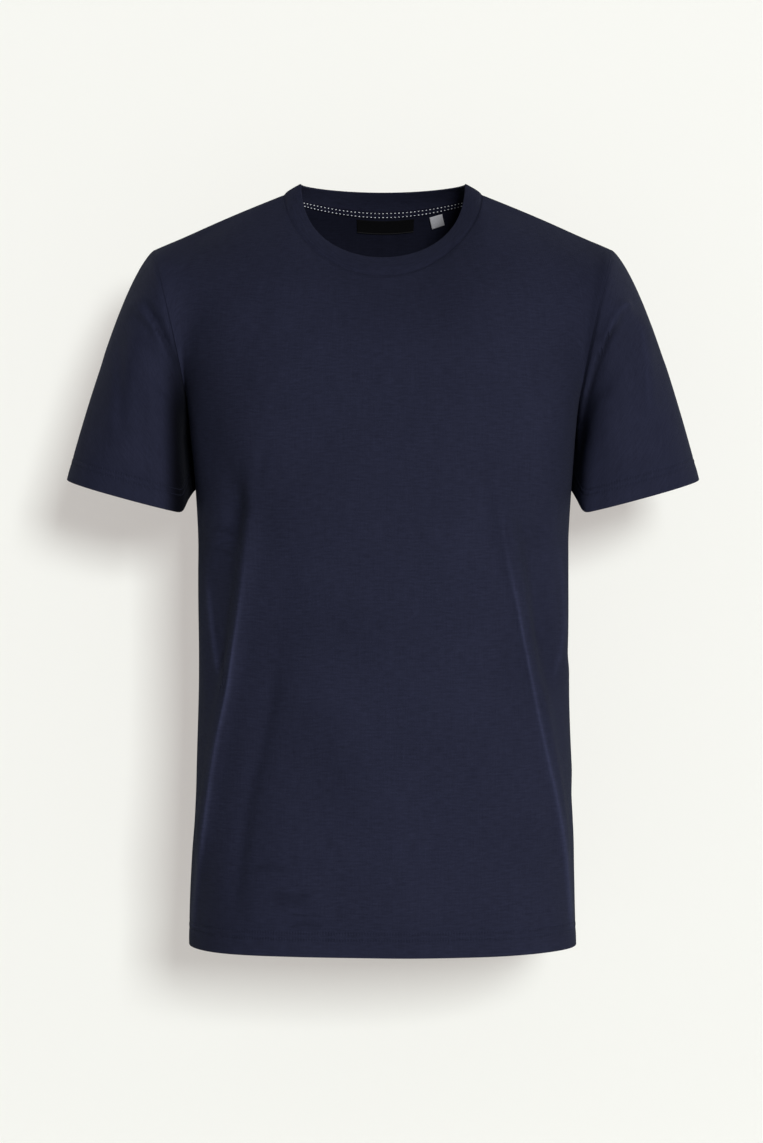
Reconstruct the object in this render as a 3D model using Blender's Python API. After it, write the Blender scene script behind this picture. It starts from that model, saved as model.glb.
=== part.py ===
"""A crew neck t-shirt in the hollow form that it has when it is worn, with nobody in it.

Metres, +Z up. The front faces -Y and the wearer's left is +X. The origin lies between the shoulders,
level with the neck ends of the shoulder seams, where a wearer carries the shirt.

The front and the back are each one grid of cloth: the rows run round the body, and the columns run from
the hem up to the shoulder seams and the neckline. Every sleeve starts on the panels' armhole edges, and
the collar on their neckline. Two pieces share one seam line, and each stops half a seam gap short of it.
"""

import math
from collections import namedtuple

import bmesh
import bpy
import numpy as np

MM = 0.001

# ---------------------------------------------------------------- cloth and seams
WALL = 1.2 * MM  # jersey, as a solid wall
HEM_WALL = 2.0 * MM  # where the cloth is turned up and doubled
COLLAR_WALL = 2.2 * MM  # rib, folded double
TRIM_WALL = 1.0 * MM  # neck tape, label and size tab
SEAM_GAP = 0.3 * MM
TURN_UP = 20 * MM  # height of the doubled cloth at the hem and the cuffs

# ---------------------------------------------------------------- grids
SHOULDER_COLUMNS = 12  # panel columns that end on each shoulder seam
NECK_COLUMNS = 16  # panel columns that end on the neckline
NECK_SHARE = 0.42  # share of the panel's half width that those in the middle take at the underarm
BODY_ROWS = 17  # from the hem to the underarm
YOKE_ROWS = 11  # from the underarm to the shoulder seam
SLEEVE_ROWS = 8
COLLAR_ROWS = 3
ARC_STEPS = 240  # fine points of a body ring before it is divided

# ---------------------------------------------------------------- body
# Rings round the body, from the hem to the underarm. Depths are from the side seams to each panel's middle.
Ring = namedtuple("Ring", "height half_width front_depth back_depth squareness")
BODY_RINGS = (
    Ring(-722, 186.5, 127, 117, 3.1),
    Ring(-645, 184.2, 125, 114, 2.8),
    Ring(-567, 181.2, 123, 110, 2.7),
    Ring(-470, 178.3, 122, 105, 2.6),
    Ring(-390, 178.2, 123, 103, 2.5),
    Ring(-334, 179.0, 126, 105, 2.5),
    Ring(-284, 182.0, 128, 109, 2.6),
    Ring(-225, 187.0, 127, 112, 2.8),
)
HEM_DIP = 2.5 * MM  # how much lower the hem hangs at the middle of each panel
HEM_DIP_HEIGHT = 250 * MM  # where that has faded away, above the hem

# ---------------------------------------------------------------- shoulders, neckline and armholes
SHOULDER_TIP = (222.2 * MM, 0.0, -53.5 * MM)
NECK_POINT = (96.6 * MM, 0.0, 1.6 * MM)  # neck end of the shoulder seam
SHOULDER_BULGE = 1.6 * MM  # how far the middle of the seam rises above a straight line

# How each panel is cut and falls. neck_curve is how late its neckline drops on the way to the middle. The
# next four are pulls (across, away from the side seams' plane, and up): how the outermost column leaves the
# underarm, and how columns arrive at the shoulder tip, the neck point and the middle of the neckline. rise
# is how far, as a share of its way up, the middle column keeps the slope that it has below the underarm.
Panel = namedtuple(
    "Panel",
    "name facing neck_drop neck_depth neck_curve armhole_low armhole_top neck_point neck_middle rise",
)
FRONT = Panel("front", -1, 85.4, 75, 1.17, (0, 82, 50), (9, -102, 21), (0, -75, 64), (0, -24, 38), 0.42)
BACK = Panel("back", 1, 9.5, 60, 3.0, (0, 90, 54), (6, -108, 18), (0, -86, 32), (0, -32, 33), 0.40)
ARMHOLE_SPREAD = 0.62  # share of the half width beyond which columns lean towards the armhole
EVEN_ROUNDS = 5  # times that the yoke is evened out, so that no crease runs down from the neck points
EVEN_BELOW = 3  # rows below the underarm that are evened out too

# ---------------------------------------------------------------- sleeves
# The four lines of a sleeve, each a curve from the armhole to the cuff, with across and up as offsets.
CUFF_MIDDLE = (244.4 * MM, -2 * MM, -296 * MM)
CUFF_HALF_WIDTH = 64 * MM
CUFF_HALF_DEPTH = 60 * MM
CUFF_SQUARENESS = 2.4
CUFF_TILT = math.radians(15.2)
CUFF_INNER_RISE = 22 * MM  # the cuff's edge is higher where it meets the body
CUFF_INNER_BREADTH = 14  # how narrow that rise is
CUFF_BACK_RISE = 8 * MM
SleeveLine = namedtuple("SleeveLine", "pull_across pull_out pull_up cuff_pull")
SLEEVE_OUTER = SleeveLine(30, 0, -27, 72)
SLEEVE_FRONT = SleeveLine(24, -4, -34, 52)
SLEEVE_INNER = SleeveLine(1.5, 0, -20, 20)
SLEEVE_BACK = SleeveLine(24, 4, -34, 52)

# ---------------------------------------------------------------- collar and trim
COLLAR_HALF_WIDTH = 79.8 * MM
COLLAR_SIDE_HEIGHT = 12.0 * MM
Rim = namedtuple("Rim", "y z curve")  # the middle of the rim, and how late it gets there
COLLAR_FRONT = Rim(-64 * MM, -65.7 * MM, 0.75)
COLLAR_BACK = Rim(54 * MM, 8.4 * MM, 1.7)
COLLAR_SIDE_ROUNDING = 0.15  # how softly the rim turns from the front to the back
COLLAR_ROLL = 0.8 * MM  # how far the band bows outwards

TAPE_TOP = 0.6 * MM  # below the neck seam
TAPE_WIDTH = 7 * MM
LABEL_MIDDLE = 2.4 * MM
LABEL_SIZE = (57 * MM, 14 * MM)
LABEL_DROP = 10.2 * MM  # below the neck seam
TAB_TOP_CORNER = (46.2 * MM, 11.3 * MM)  # across from the middle, and below the neck seam
TAB_SIZE = (12.6 * MM, 14.6 * MM)
TAB_TILT = math.radians(14)
TAB_SEAM_TILT = math.radians(9)  # how much of that tilt the seam has there
TAB_LIFT = 0.6 * MM  # it bends less than the cloth that it hangs on

# ---------------------------------------------------------------- folds
# Soft ridges (depth above 0) and troughs (below 0) of the panels. Across is measured along the cloth from the
# middle of the panel, and bow is how far the fold's middle leaves a straight line.
Fold = namedtuple("Fold", "panel across_1 height_1 across_2 height_2 bow depth breadth")
FOLDS = (
    Fold("front", -116, -225, -222, -722, 6, 4.5, 18),
    Fold("front", -140, -250, -176, -500, 4, -5.0, 17),
    Fold("front", -218, -320, -190, -500, -3, 3.0, 16),
    Fold("front", 112, -245, 222, -722, -6, 4.5, 18),
    Fold("front", 152, -280, 172, -490, -2, -5.0, 17),
    Fold("front", 218, -310, 190, -490, 3, 3.0, 16),
    Fold("front", -86, -300, -160, -722, 6, -1.8, 20),
    Fold("back", -150, -250, -95, -560, -5, -5.0, 18),
    Fold("back", 150, -250, 95, -560, 5, -5.0, 18),
    Fold("back", -190, -300, -215, -690, 5, 4.0, 16),
    Fold("back", 190, -320, 215, -700, -5, 4.0, 16),
    Fold("back", 0, -330, 10, -650, 4, 2.5, 30),
)
FOLD_FADE = 0.22  # share of a fold's length over which it fades at each end

# Folds of the sleeves. Round is in degrees from the outer line by way of the front, and along is a share of
# the sleeve's length from the armhole.
SleeveFold = namedtuple("SleeveFold", "sleeve round_1 along_1 round_2 along_2 depth breadth")
SLEEVE_FOLDS = (
    SleeveFold("sleeve_right", 45, 0.16, 118, 0.30, -3.5, 0.10),
    SleeveFold("sleeve_left", 38, 0.22, 118, 0.30, -4.5, 0.10),
    SleeveFold("sleeve_right", 300, 0.20, 235, 0.32, -3.5, 0.10),
    SleeveFold("sleeve_left", 305, 0.18, 238, 0.30, -3.5, 0.10),
)


def curve_through(rows, height):
    """The row of a table at this height, read from a smooth curve through all of its rows."""
    table = np.array(rows, float)
    heights = table[:, 0]
    slopes = np.gradient(table, heights, axis=0)
    low = int(np.clip(np.searchsorted(heights, height) - 1, 0, len(rows) - 2))
    span = heights[low + 1] - heights[low]
    t = (height - heights[low]) / span
    value = (
        (2 * t**3 - 3 * t**2 + 1) * table[low]
        + (t**3 - 2 * t**2 + t) * span * slopes[low]
        + (3 * t**2 - 2 * t**3) * table[low + 1]
        + (t**3 - t**2) * span * slopes[low + 1]
    )
    return type(rows[0])(*value)


def along(line, shares):
    """The points at these shares of a line's length."""
    steps = np.linalg.norm(np.diff(line, axis=0), axis=1)
    at = np.concatenate([[0], np.cumsum(steps)])
    return np.stack([np.interp(np.array(shares) * at[-1], at, line[:, k]) for k in range(3)], axis=1)


def bezier(start, start_pull, end_pull, end, t):
    """A curve that leaves start along start_pull and arrives at end along end_pull."""
    a, b, c, d = start, start + start_pull, end - end_pull, end
    return (1 - t) ** 3 * a + 3 * t * (1 - t) ** 2 * b + 3 * t**2 * (1 - t) * c + t**3 * d


def smooth_share(value):
    """A share from 0 to 1 that is level at both of its ends."""
    share = min(1.0, max(0.0, value))
    return share * share * (3 - 2 * share)


def column_shares():
    """Where the columns cross the underarm, from -1 to 1 of the panel's half width."""
    outer = np.linspace(1, NECK_SHARE, SHOULDER_COLUMNS, endpoint=False)
    inner = np.linspace(-NECK_SHARE, NECK_SHARE, NECK_COLUMNS + 1)
    return np.concatenate([-outer, inner, outer[::-1]])


def body_ring(panel, height, shares):
    """Points of a panel's row at this height, below the underarm."""
    ring = curve_through(BODY_RINGS, height / MM)
    depth = ring.front_depth if panel is FRONT else ring.back_depth
    power = 2 / ring.squareness
    turns = np.linspace(-math.pi / 2, math.pi / 2, ARC_STEPS + 1)
    sine, cosine = np.sin(turns), np.clip(np.cos(turns), 0, 1)
    line = np.stack(
        [
            ring.half_width * MM * np.sign(sine) * np.abs(sine) ** power,
            panel.facing * depth * MM * cosine**power,
            np.full(len(turns), height),
        ],
        axis=1,
    )
    points = along(line, (shares + 1) / 2)
    sag = max(0.0, 1 - (height / MM - BODY_RINGS[0].height) * MM / HEM_DIP_HEIGHT) ** 2
    points[:, 2] -= HEM_DIP * sag * (1 - (points[:, 0] / (ring.half_width * MM)) ** 2)
    return points


def neckline_point(panel, turn):
    """A point of the neck seam: turn is 0 at the middle of the panel and a right angle at the neck point."""
    drop = max(0.0, math.cos(turn)) ** panel.neck_curve
    return np.array(
        [
            NECK_POINT[0] * math.sin(turn),
            panel.facing * panel.neck_depth * MM * math.cos(turn),
            NECK_POINT[2] - panel.neck_drop * MM * drop,
        ]
    )


def shoulder_point(side, share):
    """A point of the shoulder seam, from the neck point (share 0) to the tip (share 1)."""
    near, far = np.array(NECK_POINT), np.array(SHOULDER_TIP)
    point = near + (far - near) * share
    point[2] += SHOULDER_BULGE * math.sin(math.pi * share)
    return point * (side, 1, 1)


def upper_edge(panel):
    """The last row of a panel: one shoulder seam, the neckline, the other shoulder seam."""
    shoulder = np.linspace(1, 0, SHOULDER_COLUMNS, endpoint=False)
    turns = np.linspace(-math.pi / 2, math.pi / 2, NECK_COLUMNS + 1)
    return np.array(
        [shoulder_point(-1, share) for share in shoulder]
        + [neckline_point(panel, turn) for turn in turns]
        + [shoulder_point(1, share) for share in shoulder[::-1]]
    )


def pull(panel, values, side):
    """A pull from the Panel table as a vector for one side of the shirt."""
    across, out, up = values
    return np.array([side * across, panel.facing * out, up]) * MM


def upper_pull(panel, side, from_armhole, end):
    """How the column that lies this many columns from the armhole arrives at its end on the upper edge.

    The points that the columns aim from are blended, so that no crease runs down from the neck points.
    """
    aim_from = np.array(NECK_POINT) - pull(panel, panel.neck_point, 1)
    if from_armhole <= SHOULDER_COLUMNS:
        share = smooth_share(1 - from_armhole / SHOULDER_COLUMNS)
        other = np.array(SHOULDER_TIP) - pull(panel, panel.armhole_top, 1)
        across = panel.armhole_top[0] * MM * share
    else:
        share = smooth_share(1 - abs(end[0]) / NECK_POINT[0])
        other = neckline_point(panel, 0) - pull(panel, panel.neck_middle, 1)
        across = 0
    aim_from = aim_from * (1 - share) + other * share
    aim_from[0] = end[0] - side * across
    return end - aim_from


def panel_grid(panel):
    """The outer face of a panel before its folds, as rows of points from the hem up."""
    shares = column_shares()
    hem, underarm = BODY_RINGS[0].height * MM, BODY_RINGS[-1].height * MM
    heights = [hem, *np.linspace(hem + TURN_UP, underarm, BODY_ROWS)]
    rows = [body_ring(panel, height, shares) for height in heights]
    rise = rows[-1] - body_ring(panel, underarm - TURN_UP, shares)
    rise /= np.linalg.norm(rise, axis=1)[:, None]
    edge = upper_edge(panel)
    yoke = np.zeros((YOKE_ROWS, len(shares), 3))
    for column, share in enumerate(shares):
        start, end = rows[-1][column], edge[column]
        lean = max(0.0, (abs(share) - ARMHOLE_SPREAD) / (1 - ARMHOLE_SPREAD)) ** 2
        side = np.sign(share) or 1
        low = pull(panel, panel.armhole_low, side)
        leave = rise[column] * panel.rise * np.linalg.norm(end - start) * (1 - lean) + low * lean
        arrive = upper_pull(panel, side, min(column, len(shares) - 1 - column), end)
        for row in range(YOKE_ROWS):
            yoke[row, column] = bezier(start, leave, arrive, end, (row + 1) / YOKE_ROWS)
    return evened(np.concatenate([np.array(rows), yoke]))


def evened(grid):
    """A panel's grid with its upper points moved towards the middle of their neighbours; the edges stay."""
    first = len(grid) - 1 - YOKE_ROWS - EVEN_BELOW
    for _ in range(EVEN_ROUNDS):
        beside = grid[first:-1, :-2] + grid[first:-1, 2:]
        above_below = grid[first - 1 : -2, 1:-1] + grid[first + 1 :, 1:-1]
        grid[first:-1, 1:-1] = grid[first:-1, 1:-1] / 2 + (beside + above_below) / 8
    return grid


def normals_of(grid, closed, towards):
    """Unit normals of a grid. towards is +1 or -1, so that they point out of the shirt."""
    if closed:
        round_it = np.roll(grid, -1, axis=1) - np.roll(grid, 1, axis=1)
    else:
        round_it = np.gradient(grid, axis=1)
    normals = towards * np.cross(round_it, np.gradient(grid, axis=0))
    return normals / np.linalg.norm(normals, axis=2)[:, :, None]


def fold_strength(start, end, bow, breadth, across, up):
    """How strongly a fold from start to end acts on points at (across, up): 1 on its line, less around it."""
    line = np.subtract(end, start)
    length = np.linalg.norm(line)
    line = line / length
    offset = np.stack([across - start[0], up - start[1]], axis=-1)
    share = offset @ line / length
    aside = offset @ np.array([-line[1], line[0]]) - bow * 4 * share * (1 - share)
    ends = np.clip(np.minimum(share, 1 - share) / FOLD_FADE, 0, 1)
    return np.exp(-((aside / breadth) ** 2)) * ends * ends * (3 - 2 * ends)


def folded(panel, grid, normals):
    """The panel's points moved out or in by its folds."""
    steps = np.linalg.norm(np.diff(grid, axis=1), axis=2)
    across = np.concatenate([np.zeros((len(grid), 1)), np.cumsum(steps, axis=1)], axis=1)
    across -= across[:, -1:] / 2
    lift = np.zeros(across.shape)
    for fold in FOLDS:
        if fold.panel == panel.name:
            start = (fold.across_1 * MM, fold.height_1 * MM)
            end = (fold.across_2 * MM, fold.height_2 * MM)
            strength = fold_strength(
                start, end, fold.bow * MM, fold.breadth * MM, across, grid[:, :, 2]
            )
            lift += fold.depth * MM * strength
    lift[:, [0, -1]] = 0
    lift[-1] = 0
    return grid + normals * lift[:, :, None]


def armhole_loop(front, back, column):
    """The armhole's points: up the front panel's edge, over the shoulder tip, and down the back's."""
    first = len(front) - 1 - YOKE_ROWS
    return np.concatenate([front[first:, column], back[first + 1 : -1, column][::-1]])


def sleeve_turns(loop):
    """The angle round the sleeve of each armhole point: half a turn at the underarm, 0 at the shoulder."""
    steps = np.linalg.norm(np.diff(np.concatenate([loop, loop[:1]]), axis=0), axis=1)
    half = YOKE_ROWS
    front = np.concatenate([[0], np.cumsum(steps[:half])])
    back = np.concatenate([[0], np.cumsum(steps[half:])])
    front_turns = math.pi * (1 - front / front[-1])
    back_turns = -math.pi * back / back[-1]
    return np.concatenate([front_turns, back_turns[1:-1]])


def blend_of_lines(turn):
    """(pull across, pull out, pull up, pull at the cuff) of a sleeve at this angle round it."""
    cosine, sine = math.cos(turn), math.sin(turn)
    weights = (
        (SLEEVE_OUTER, max(0.0, cosine) ** 2),
        (SLEEVE_INNER, max(0.0, -cosine) ** 2),
        (SLEEVE_FRONT, max(0.0, sine) ** 2),
        (SLEEVE_BACK, max(0.0, -sine) ** 2),
    )
    return sum(np.array(line) * weight for line, weight in weights) * MM


def cuff_point(side, turn):
    """A point of the cuff's edge at this angle round the sleeve."""
    power = 2 / CUFF_SQUARENESS
    cosine = math.copysign(abs(math.cos(turn)) ** power, math.cos(turn))
    sine = math.copysign(abs(math.sin(turn)) ** power, math.sin(turn))
    x, y, z = CUFF_MIDDLE
    z += CUFF_HALF_WIDTH * math.sin(CUFF_TILT) * cosine
    z += CUFF_INNER_RISE * max(0.0, -math.cos(turn)) ** CUFF_INNER_BREADTH
    z += CUFF_BACK_RISE * (1 - sine) / 2
    return np.array(
        [side * (x + CUFF_HALF_WIDTH * math.cos(CUFF_TILT) * cosine), y - CUFF_HALF_DEPTH * sine, z]
    )


def sleeve_grid(name, loop, side):
    """The outer face of a sleeve, as rings from the armhole to the cuff."""
    turns = sleeve_turns(loop)
    grid = np.zeros((SLEEVE_ROWS + 2, len(loop), 3))
    for j, turn in enumerate(turns):
        across, out, up, cuff_pull = blend_of_lines(turn)
        cuff = cuff_point(side, turn)
        leave = np.array([side * across, out, up])
        flare = 1 - max(0.0, -math.cos(turn)) ** 2
        arrive = np.array([side * math.sin(CUFF_TILT) * flare, 0, -math.cos(CUFF_TILT)]) * cuff_pull
        line = np.array([bezier(loop[j], leave, arrive, cuff, t) for t in np.linspace(0, 1, 40)])
        length = np.linalg.norm(np.diff(line, axis=0), axis=1).sum()
        turn_up = 1 - TURN_UP / length
        grid[:, j] = along(line, [*np.linspace(0, turn_up, SLEEVE_ROWS + 1), 1])
    normals = normals_of(grid, True, -side)
    round_it = np.degrees(turns) % 360
    share = np.linspace(0, 1, len(grid))
    lift = np.zeros(grid.shape[:2])
    for fold in SLEEVE_FOLDS:
        if fold.sleeve == name:
            lift += fold.depth * MM * fold_strength(
                (fold.round_1 / 360, fold.along_1),
                (fold.round_2 / 360, fold.along_2),
                0,
                fold.breadth,
                np.broadcast_to(round_it / 360, lift.shape),
                np.broadcast_to(share[:, None], lift.shape),
            )
    lift[0] = 0
    return grid + normals * lift[:, :, None]


def softened(cosine):
    """0 to 1 as the size of a cosine does, but level where the cosine is 0."""
    soft = COLLAR_SIDE_ROUNDING
    return (math.hypot(cosine, soft) - soft) / (math.hypot(1, soft) - soft)


def collar_grid(loop):
    """The outer face of the collar, as rings from the neck seam to the rim."""
    grid = np.zeros((COLLAR_ROWS + 1, len(loop), 3))
    for j, seam in enumerate(loop):
        turn = math.atan2(seam[0] / NECK_POINT[0], abs(seam[1]) / neck_depth(seam[1]))
        middle = COLLAR_FRONT if seam[1] < 0 else COLLAR_BACK
        ahead = softened(math.cos(turn)) ** middle.curve
        rim = np.array(
            [
                COLLAR_HALF_WIDTH * math.sin(turn),
                middle.y * abs(math.cos(turn)),
                COLLAR_SIDE_HEIGHT + (middle.z - COLLAR_SIDE_HEIGHT) * ahead,
            ]
        )
        for row in range(COLLAR_ROWS + 1):
            share = row / COLLAR_ROWS
            outwards = np.array([math.sin(turn), math.copysign(abs(math.cos(turn)), seam[1]), 0])
            grid[row, j] = seam + (rim - seam) * share
            grid[row, j] += outwards * COLLAR_ROLL * math.sin(math.pi * share)
    return grid


def neck_depth(y):
    """The neckline's depth on the side of the shirt where y is."""
    return (FRONT if y < 0 else BACK).neck_depth * MM


def neckline_loop(front, back):
    """The neckline's points: along the front from -X to +X, and back along the back."""
    first, last = SHOULDER_COLUMNS, SHOULDER_COLUMNS + NECK_COLUMNS
    return np.concatenate([front[-1, first : last + 1], back[-1, first + 1 : last][::-1]])


def average(*groups):
    total = sum(groups)
    return total / np.linalg.norm(total, axis=-1)[..., None]


def share_normals(front, back, sleeves, collar, armholes):
    """Gives two pieces one normal along their seam, so that their walls stay parallel there.

    Under the arm the sleeve folds back on the panels, so the armholes' normals also lean away from their
    middle.
    """
    first = len(front) - 1 - YOKE_ROWS
    shoulders = [*range(SHOULDER_COLUMNS + 1), *range(SHOULDER_COLUMNS + NECK_COLUMNS, front.shape[1])]
    for seam in (np.s_[: first + 1, 0], np.s_[: first + 1, -1], np.s_[-1, shoulders]):
        front[seam] = back[seam] = average(front[seam], back[seam])
    for column, sleeve, armhole in zip((0, -1), sleeves, armholes):
        away = armhole - armhole.mean(axis=0)
        away /= np.linalg.norm(away, axis=1)[:, None]
        shared = average(armhole_loop(front, back, column), sleeve[0], away)
        sleeve[0] = shared
        front[first:, column] = shared[: YOKE_ROWS + 1]
        back[first + 1 : -1, column] = shared[YOKE_ROWS + 1 :][::-1]
        back[first, column], back[-1, column] = shared[0], shared[YOKE_ROWS]
    start, end = SHOULDER_COLUMNS, SHOULDER_COLUMNS + NECK_COLUMNS
    shared = average(neckline_loop(front, back), collar[0])
    collar[0] = shared
    front[-1, start : end + 1] = shared[: NECK_COLUMNS + 1]
    back[-1, start + 1 : end] = shared[NECK_COLUMNS + 1 :][::-1]
    back[-1, start], back[-1, end] = shared[0], shared[NECK_COLUMNS]


def seam_step(line, normals, side, closed=False):
    """Half a seam gap, at right angles to a seam line and along the cloth; side says to which hand."""
    if closed:
        along_seam = np.roll(line, -1, axis=0) - np.roll(line, 1, axis=0)
    else:
        along_seam = np.gradient(line, axis=0)
    step = np.cross(normals, along_seam)
    return side * step / np.linalg.norm(step, axis=1)[:, None] * SEAM_GAP / 2


def open_panel_seams(panel, grid, normals):
    """A panel's grid with its side, armhole, shoulder and neck edges half a gap short of the seam lines."""
    underarm = len(grid) - 1 - YOKE_ROWS
    neck_1, neck_2 = SHOULDER_COLUMNS, SHOULDER_COLUMNS + NECK_COLUMNS
    moved = grid.copy()
    for column, side in ((0, panel.facing), (-1, -panel.facing)):
        side_normals = normals[: underarm + 1, column].copy()
        side_normals[-1] = side_normals[-2]
        moved[: underarm + 1, column] += seam_step(grid[: underarm + 1, column], side_normals, side)
        moved[underarm:, column] += seam_step(grid[underarm:, column], normals[underarm:, column], side)
    for columns in (slice(0, neck_1 + 1), slice(neck_1, neck_2 + 1), slice(neck_2, None)):
        moved[-1, columns] += seam_step(grid[-1, columns], normals[-1, columns], panel.facing)
    return moved


def open_first_ring(grid, normals, side):
    """A sleeve's or the collar's grid with its first ring half a gap short of the seam line."""
    moved = grid.copy()
    moved[0] += seam_step(grid[0], normals[0], side, closed=True)
    return moved


def wall_faces(rows, columns, closed):
    """Quads of a wall: the outer points are numbered first and the inner ones after them."""
    inner = rows * columns
    last = columns if closed else columns - 1
    faces = []
    for row in range(rows - 1):
        for column in range(last):
            a = row * columns + column
            b = row * columns + (column + 1) % columns
            quad = (a, b, b + columns, a + columns)
            faces.append(quad)
            faces.append(tuple(corner + inner for corner in quad[::-1]))
    for row in (0, rows - 1):
        for column in range(last):
            a, b = row * columns + column, row * columns + (column + 1) % columns
            faces.append((a, b, b + inner, a + inner))
    if not closed:
        for column in (0, columns - 1):
            for row in range(rows - 1):
                a = row * columns + column
                faces.append((a, a + columns, a + columns + inner, a + inner))
    return faces


def add_wall(name, outer, inner, closed, material):
    """A node: the solid between two grids of points."""
    mesh = bpy.data.meshes.new(name)
    points = np.concatenate([outer.reshape(-1, 3), inner.reshape(-1, 3)])
    mesh.from_pydata(points.tolist(), [], wall_faces(outer.shape[0], outer.shape[1], closed))
    shell = bmesh.new()
    shell.from_mesh(mesh)
    bmesh.ops.recalc_face_normals(shell, faces=shell.faces)
    bmesh.ops.triangulate(shell, faces=shell.faces)
    shell.to_mesh(mesh)
    shell.free()
    mesh.materials.append(material)
    mesh.shade_smooth()
    mesh.set_sharp_from_angle(angle=math.radians(40))
    node = bpy.data.objects.new(name, mesh)
    bpy.context.scene.collection.objects.link(node)
    return node


def wall_thickness(rows, doubled):
    """Wall thickness of each row; doubled lists the rows of turned-up cloth."""
    thickness = np.full((rows, 1, 1), WALL)
    thickness[doubled] = HEM_WALL
    return thickness


def on_inside(grid, normals, row, column):
    """A point of a panel's inner face, and the direction into the shirt there, between its grid's points."""
    low_row, low_column = int(row), int(column)
    up, right = row - low_row, column - low_column
    next_row = min(low_row + 1, len(grid) - 1)
    next_column = min(low_column + 1, grid.shape[1] - 1)

    def mix(values):
        low = values[low_row, low_column] * (1 - right) + values[low_row, next_column] * right
        high = values[next_row, low_column] * (1 - right) + values[next_row, next_column] * right
        return low * (1 - up) + high * up

    return mix(grid), -mix(normals)


def lines_between(start, end):
    """start, end and each whole grid line between them."""
    low, high = min(start, end), max(start, end)
    whole = [float(k) for k in range(math.ceil(low), math.floor(high) + 1) if low < k < high]
    return [low, *whole, high]


def add_lining_piece(name, inside, normals, rows, columns, material, lift=SEAM_GAP):
    """A thin piece that lies on the inner face of the back panel, over its own rows and columns."""
    near, far = [], []
    for row in lines_between(*rows):
        places = [on_inside(inside, normals, row, column) for column in lines_between(*columns)]
        near.append([point + inwards * lift for point, inwards in places])
        far.append([point + inwards * (lift + TRIM_WALL) for point, inwards in places])
    return add_wall(name, np.array(far), np.array(near), False, material)


def rows_below_seam(inside, column, distance):
    """The fractional row of a panel that lies this far below its upper edge, measured along a column."""
    last = len(inside) - 1
    for row in range(last, 0, -1):
        step = np.linalg.norm(inside[row, column] - inside[row - 1, column])
        if distance <= step:
            return row - distance / step
        distance -= step
    return 0.0


def column_at(inside, row, across):
    """The fractional column of a panel where a row crosses this x."""
    return float(np.interp(across, inside[round(row), :, 0], np.arange(inside.shape[1])))


def add_neck_trim(inside, normals, fabric, satin, silver):
    """The neck tape, the label and the size tab, which lie on the inner face of the back."""
    middle = inside.shape[1] // 2
    first, last = SHOULDER_COLUMNS, SHOULDER_COLUMNS + NECK_COLUMNS
    tape = [rows_below_seam(inside, middle, distance) for distance in (TAPE_TOP, TAPE_TOP + TAPE_WIDTH)]
    add_lining_piece("neck_tape", inside, normals, tape, (first + 0.3, last - 0.3), fabric)

    half = LABEL_SIZE[0] / 2
    label_rows = [
        rows_below_seam(inside, middle, distance) for distance in (LABEL_DROP, LABEL_DROP + LABEL_SIZE[1])
    ]
    label_columns = [column_at(inside, label_rows[0], LABEL_MIDDLE + side * half) for side in (-1, 1)]
    add_lining_piece("neck_label", inside, normals, label_rows, label_columns, satin)

    corners = []
    for right, down in ((0, 0), (1, 0), (0, 1), (1, 1)):
        x, drop = right * TAB_SIZE[0], down * TAB_SIZE[1]
        across = TAB_TOP_CORNER[0] + x * math.cos(TAB_TILT) + drop * math.sin(TAB_TILT)
        below = TAB_TOP_CORNER[1] - x * math.sin(TAB_TILT - TAB_SEAM_TILT) + drop * math.cos(TAB_TILT)
        row = rows_below_seam(inside, middle, below)
        corners.append(on_inside(inside, normals, row, column_at(inside, row, across)))
    near = np.array([point + inwards * TAB_LIFT for point, inwards in corners]).reshape(2, 2, 3)
    far = np.array([point + inwards * (TAB_LIFT + TRIM_WALL) for point, inwards in corners])
    add_wall("size_tab", far.reshape(2, 2, 3), near, False, silver)


def add_material(name, colour, roughness):
    material = bpy.data.materials.new(name)
    material.use_nodes = True
    shader = material.node_tree.nodes["Principled BSDF"]
    shader.inputs["Base Color"].default_value = (*colour, 1)
    shader.inputs["Roughness"].default_value = roughness
    shader.inputs["Metallic"].default_value = 0
    return material


def clear_scene():
    for item in list(bpy.data.objects):
        bpy.data.objects.remove(item)


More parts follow.
